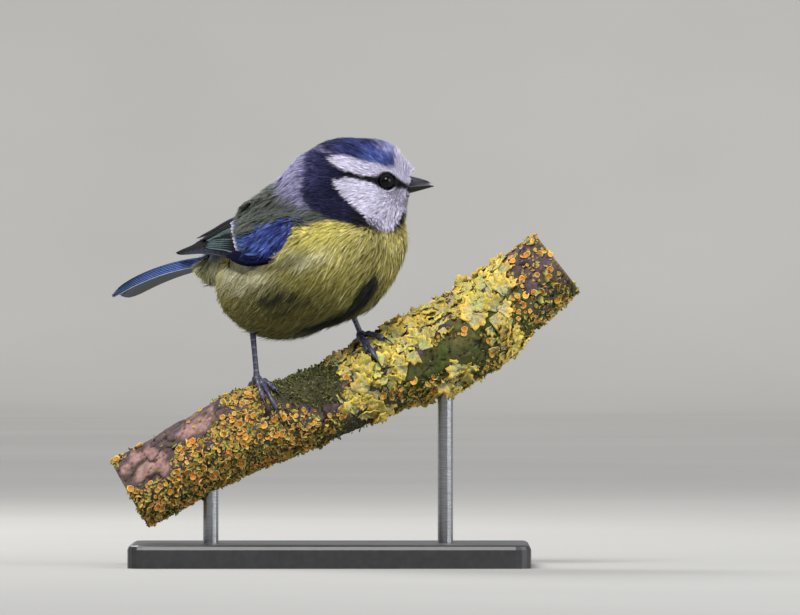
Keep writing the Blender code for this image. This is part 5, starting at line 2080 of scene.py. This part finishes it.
def lichenMaterial(name, roughness):
    return grainMaterial(
        name, (1500.0, 4.0, 0.6), ((0.3, (0.62, 0.62, 0.6)), (0.7, (1.28, 1.28, 1.24))), (0.00025, 0.7), tinted=True,
        Roughness=roughness, Specular_IOR_Level=0.3,
    )


def mossy(points, turns):
    return np.maximum(growthShare(points, "moss", 4.0), 0.25 * easeStep(0.0, -0.9, np.cos(turns)))


def makeLichen():
    crust = lichenMaterial("lichenCrust", 0.75)
    leafy = lichenMaterial("lichenLeaf", 0.7)
    shape, faces = cupKinds(81)
    height = np.hypot(shape[0][:, 0], shape[0][:, 1])
    inner = (height < 0.8) & (shape[0][:, 2] > -0.1)
    rim = (height >= 0.8) & (shape[0][:, 2] > 0.1)
    tints = np.tile(tone(96, 98, 50), (len(height), 1))
    tints[rim] = tone(196, 186, 122)
    tints[inner] = tone(204, 128, 36)
    spots = barkSpots(lichen["cupGap"], 82, lichen["tries"], crusty)
    strew("lichenCups", shape, faces, tints, spots[::2], (0.36, 1.25), 83, crust, 0.35, -0.1)
    tints[rim] = tone(188, 180, 106)
    tints[inner] = tone(190, 140, 52)
    strew("lichenBuds", shape, faces, tints, spots[1::2], (0.3, 0.9), 93, crust, 0.4, -0.1)
    shape, faces = leafKinds(84, 4, 3, 5.0, 0.12, 0.3)
    along = shape[0][:, 1]
    tints = mixInto(np.tile(tone(104, 104, 50), (len(along), 1)), tone(190, 176, 86), easeStep(0.1, 0.6, along))
    spots = barkSpots(lichen["scaleGap"], 85, lichen["tries"], lambda p, t: np.clip(crusty(p, t) * 1.1, 0.0, 1.0))
    strew("lichenScales", shape, faces, tints, spots, (0.6, 1.6), 86, crust, 0.5)
    shape, faces = leafKinds(87, 9, 5, 9.0, 0.08, 0.14)
    along = np.hypot(shape[0][:, 0], shape[0][:, 1] + 0.3)
    tints = mixInto(np.tile(tone(176, 172, 118), (len(along), 1)), tone(206, 178, 66), easeStep(0.6, 0.95, along))
    spots = barkSpots(lichen["leafGap"], 88, lichen["leafTries"], lambda p, t: growthShare(p, "leafy", 3.0))
    piece = strew("lichenLeaves", shape, faces, tints, spots, (2.1, 4.8), 89, leafy, 0.15, -0.2)
    addModifier(piece, "thickness", "SOLIDIFY", thickness=lichen["leafThick"], offset=-1.0)
    shape, faces = leafKinds(90, 2, 3, 1.0, 0.2, 0.9)
    tints = np.tile(tone(104, 108, 56), (shape.shape[1], 1))
    spots = barkSpots(lichen["mossGap"], 91, lichen["mossTries"], mossy)
    strew("moss", shape * np.array((0.5, 1.0, 1.2)), faces, tints, spots, (0.5, 1.0), 92, crust, 0.6)
    print("branch: lichen and moss")


makeLichen()


# Stand

standMade = grainMaterial(
    "standLacquer", (520.0, 4.0), ((0.3, tone(34, 34, 36)), (0.7, tone(46, 46, 48))), (0.00004, 0.5),
    Roughness=0.42, Specular_IOR_Level=0.5, Coat_Weight=0.2, Coat_Roughness=0.3,
)
rodMade = grainMaterial(
    "rodSteel", (380.0, 5.0), ((0.3, tone(136, 138, 142)), (0.7, tone(186, 188, 192))), (0.00002, 0.6),
    (1.0, 1.0, 24.0), Roughness=0.3, Metallic=1.0,
)
for node, material in (("stand_base", standMade), ("stand_rod_left", rodMade), ("stand_rod_right", rodMade)):
    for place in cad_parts[node].material_slots:
        place.material = material
print("stand: lacquer and steel")


print("done")
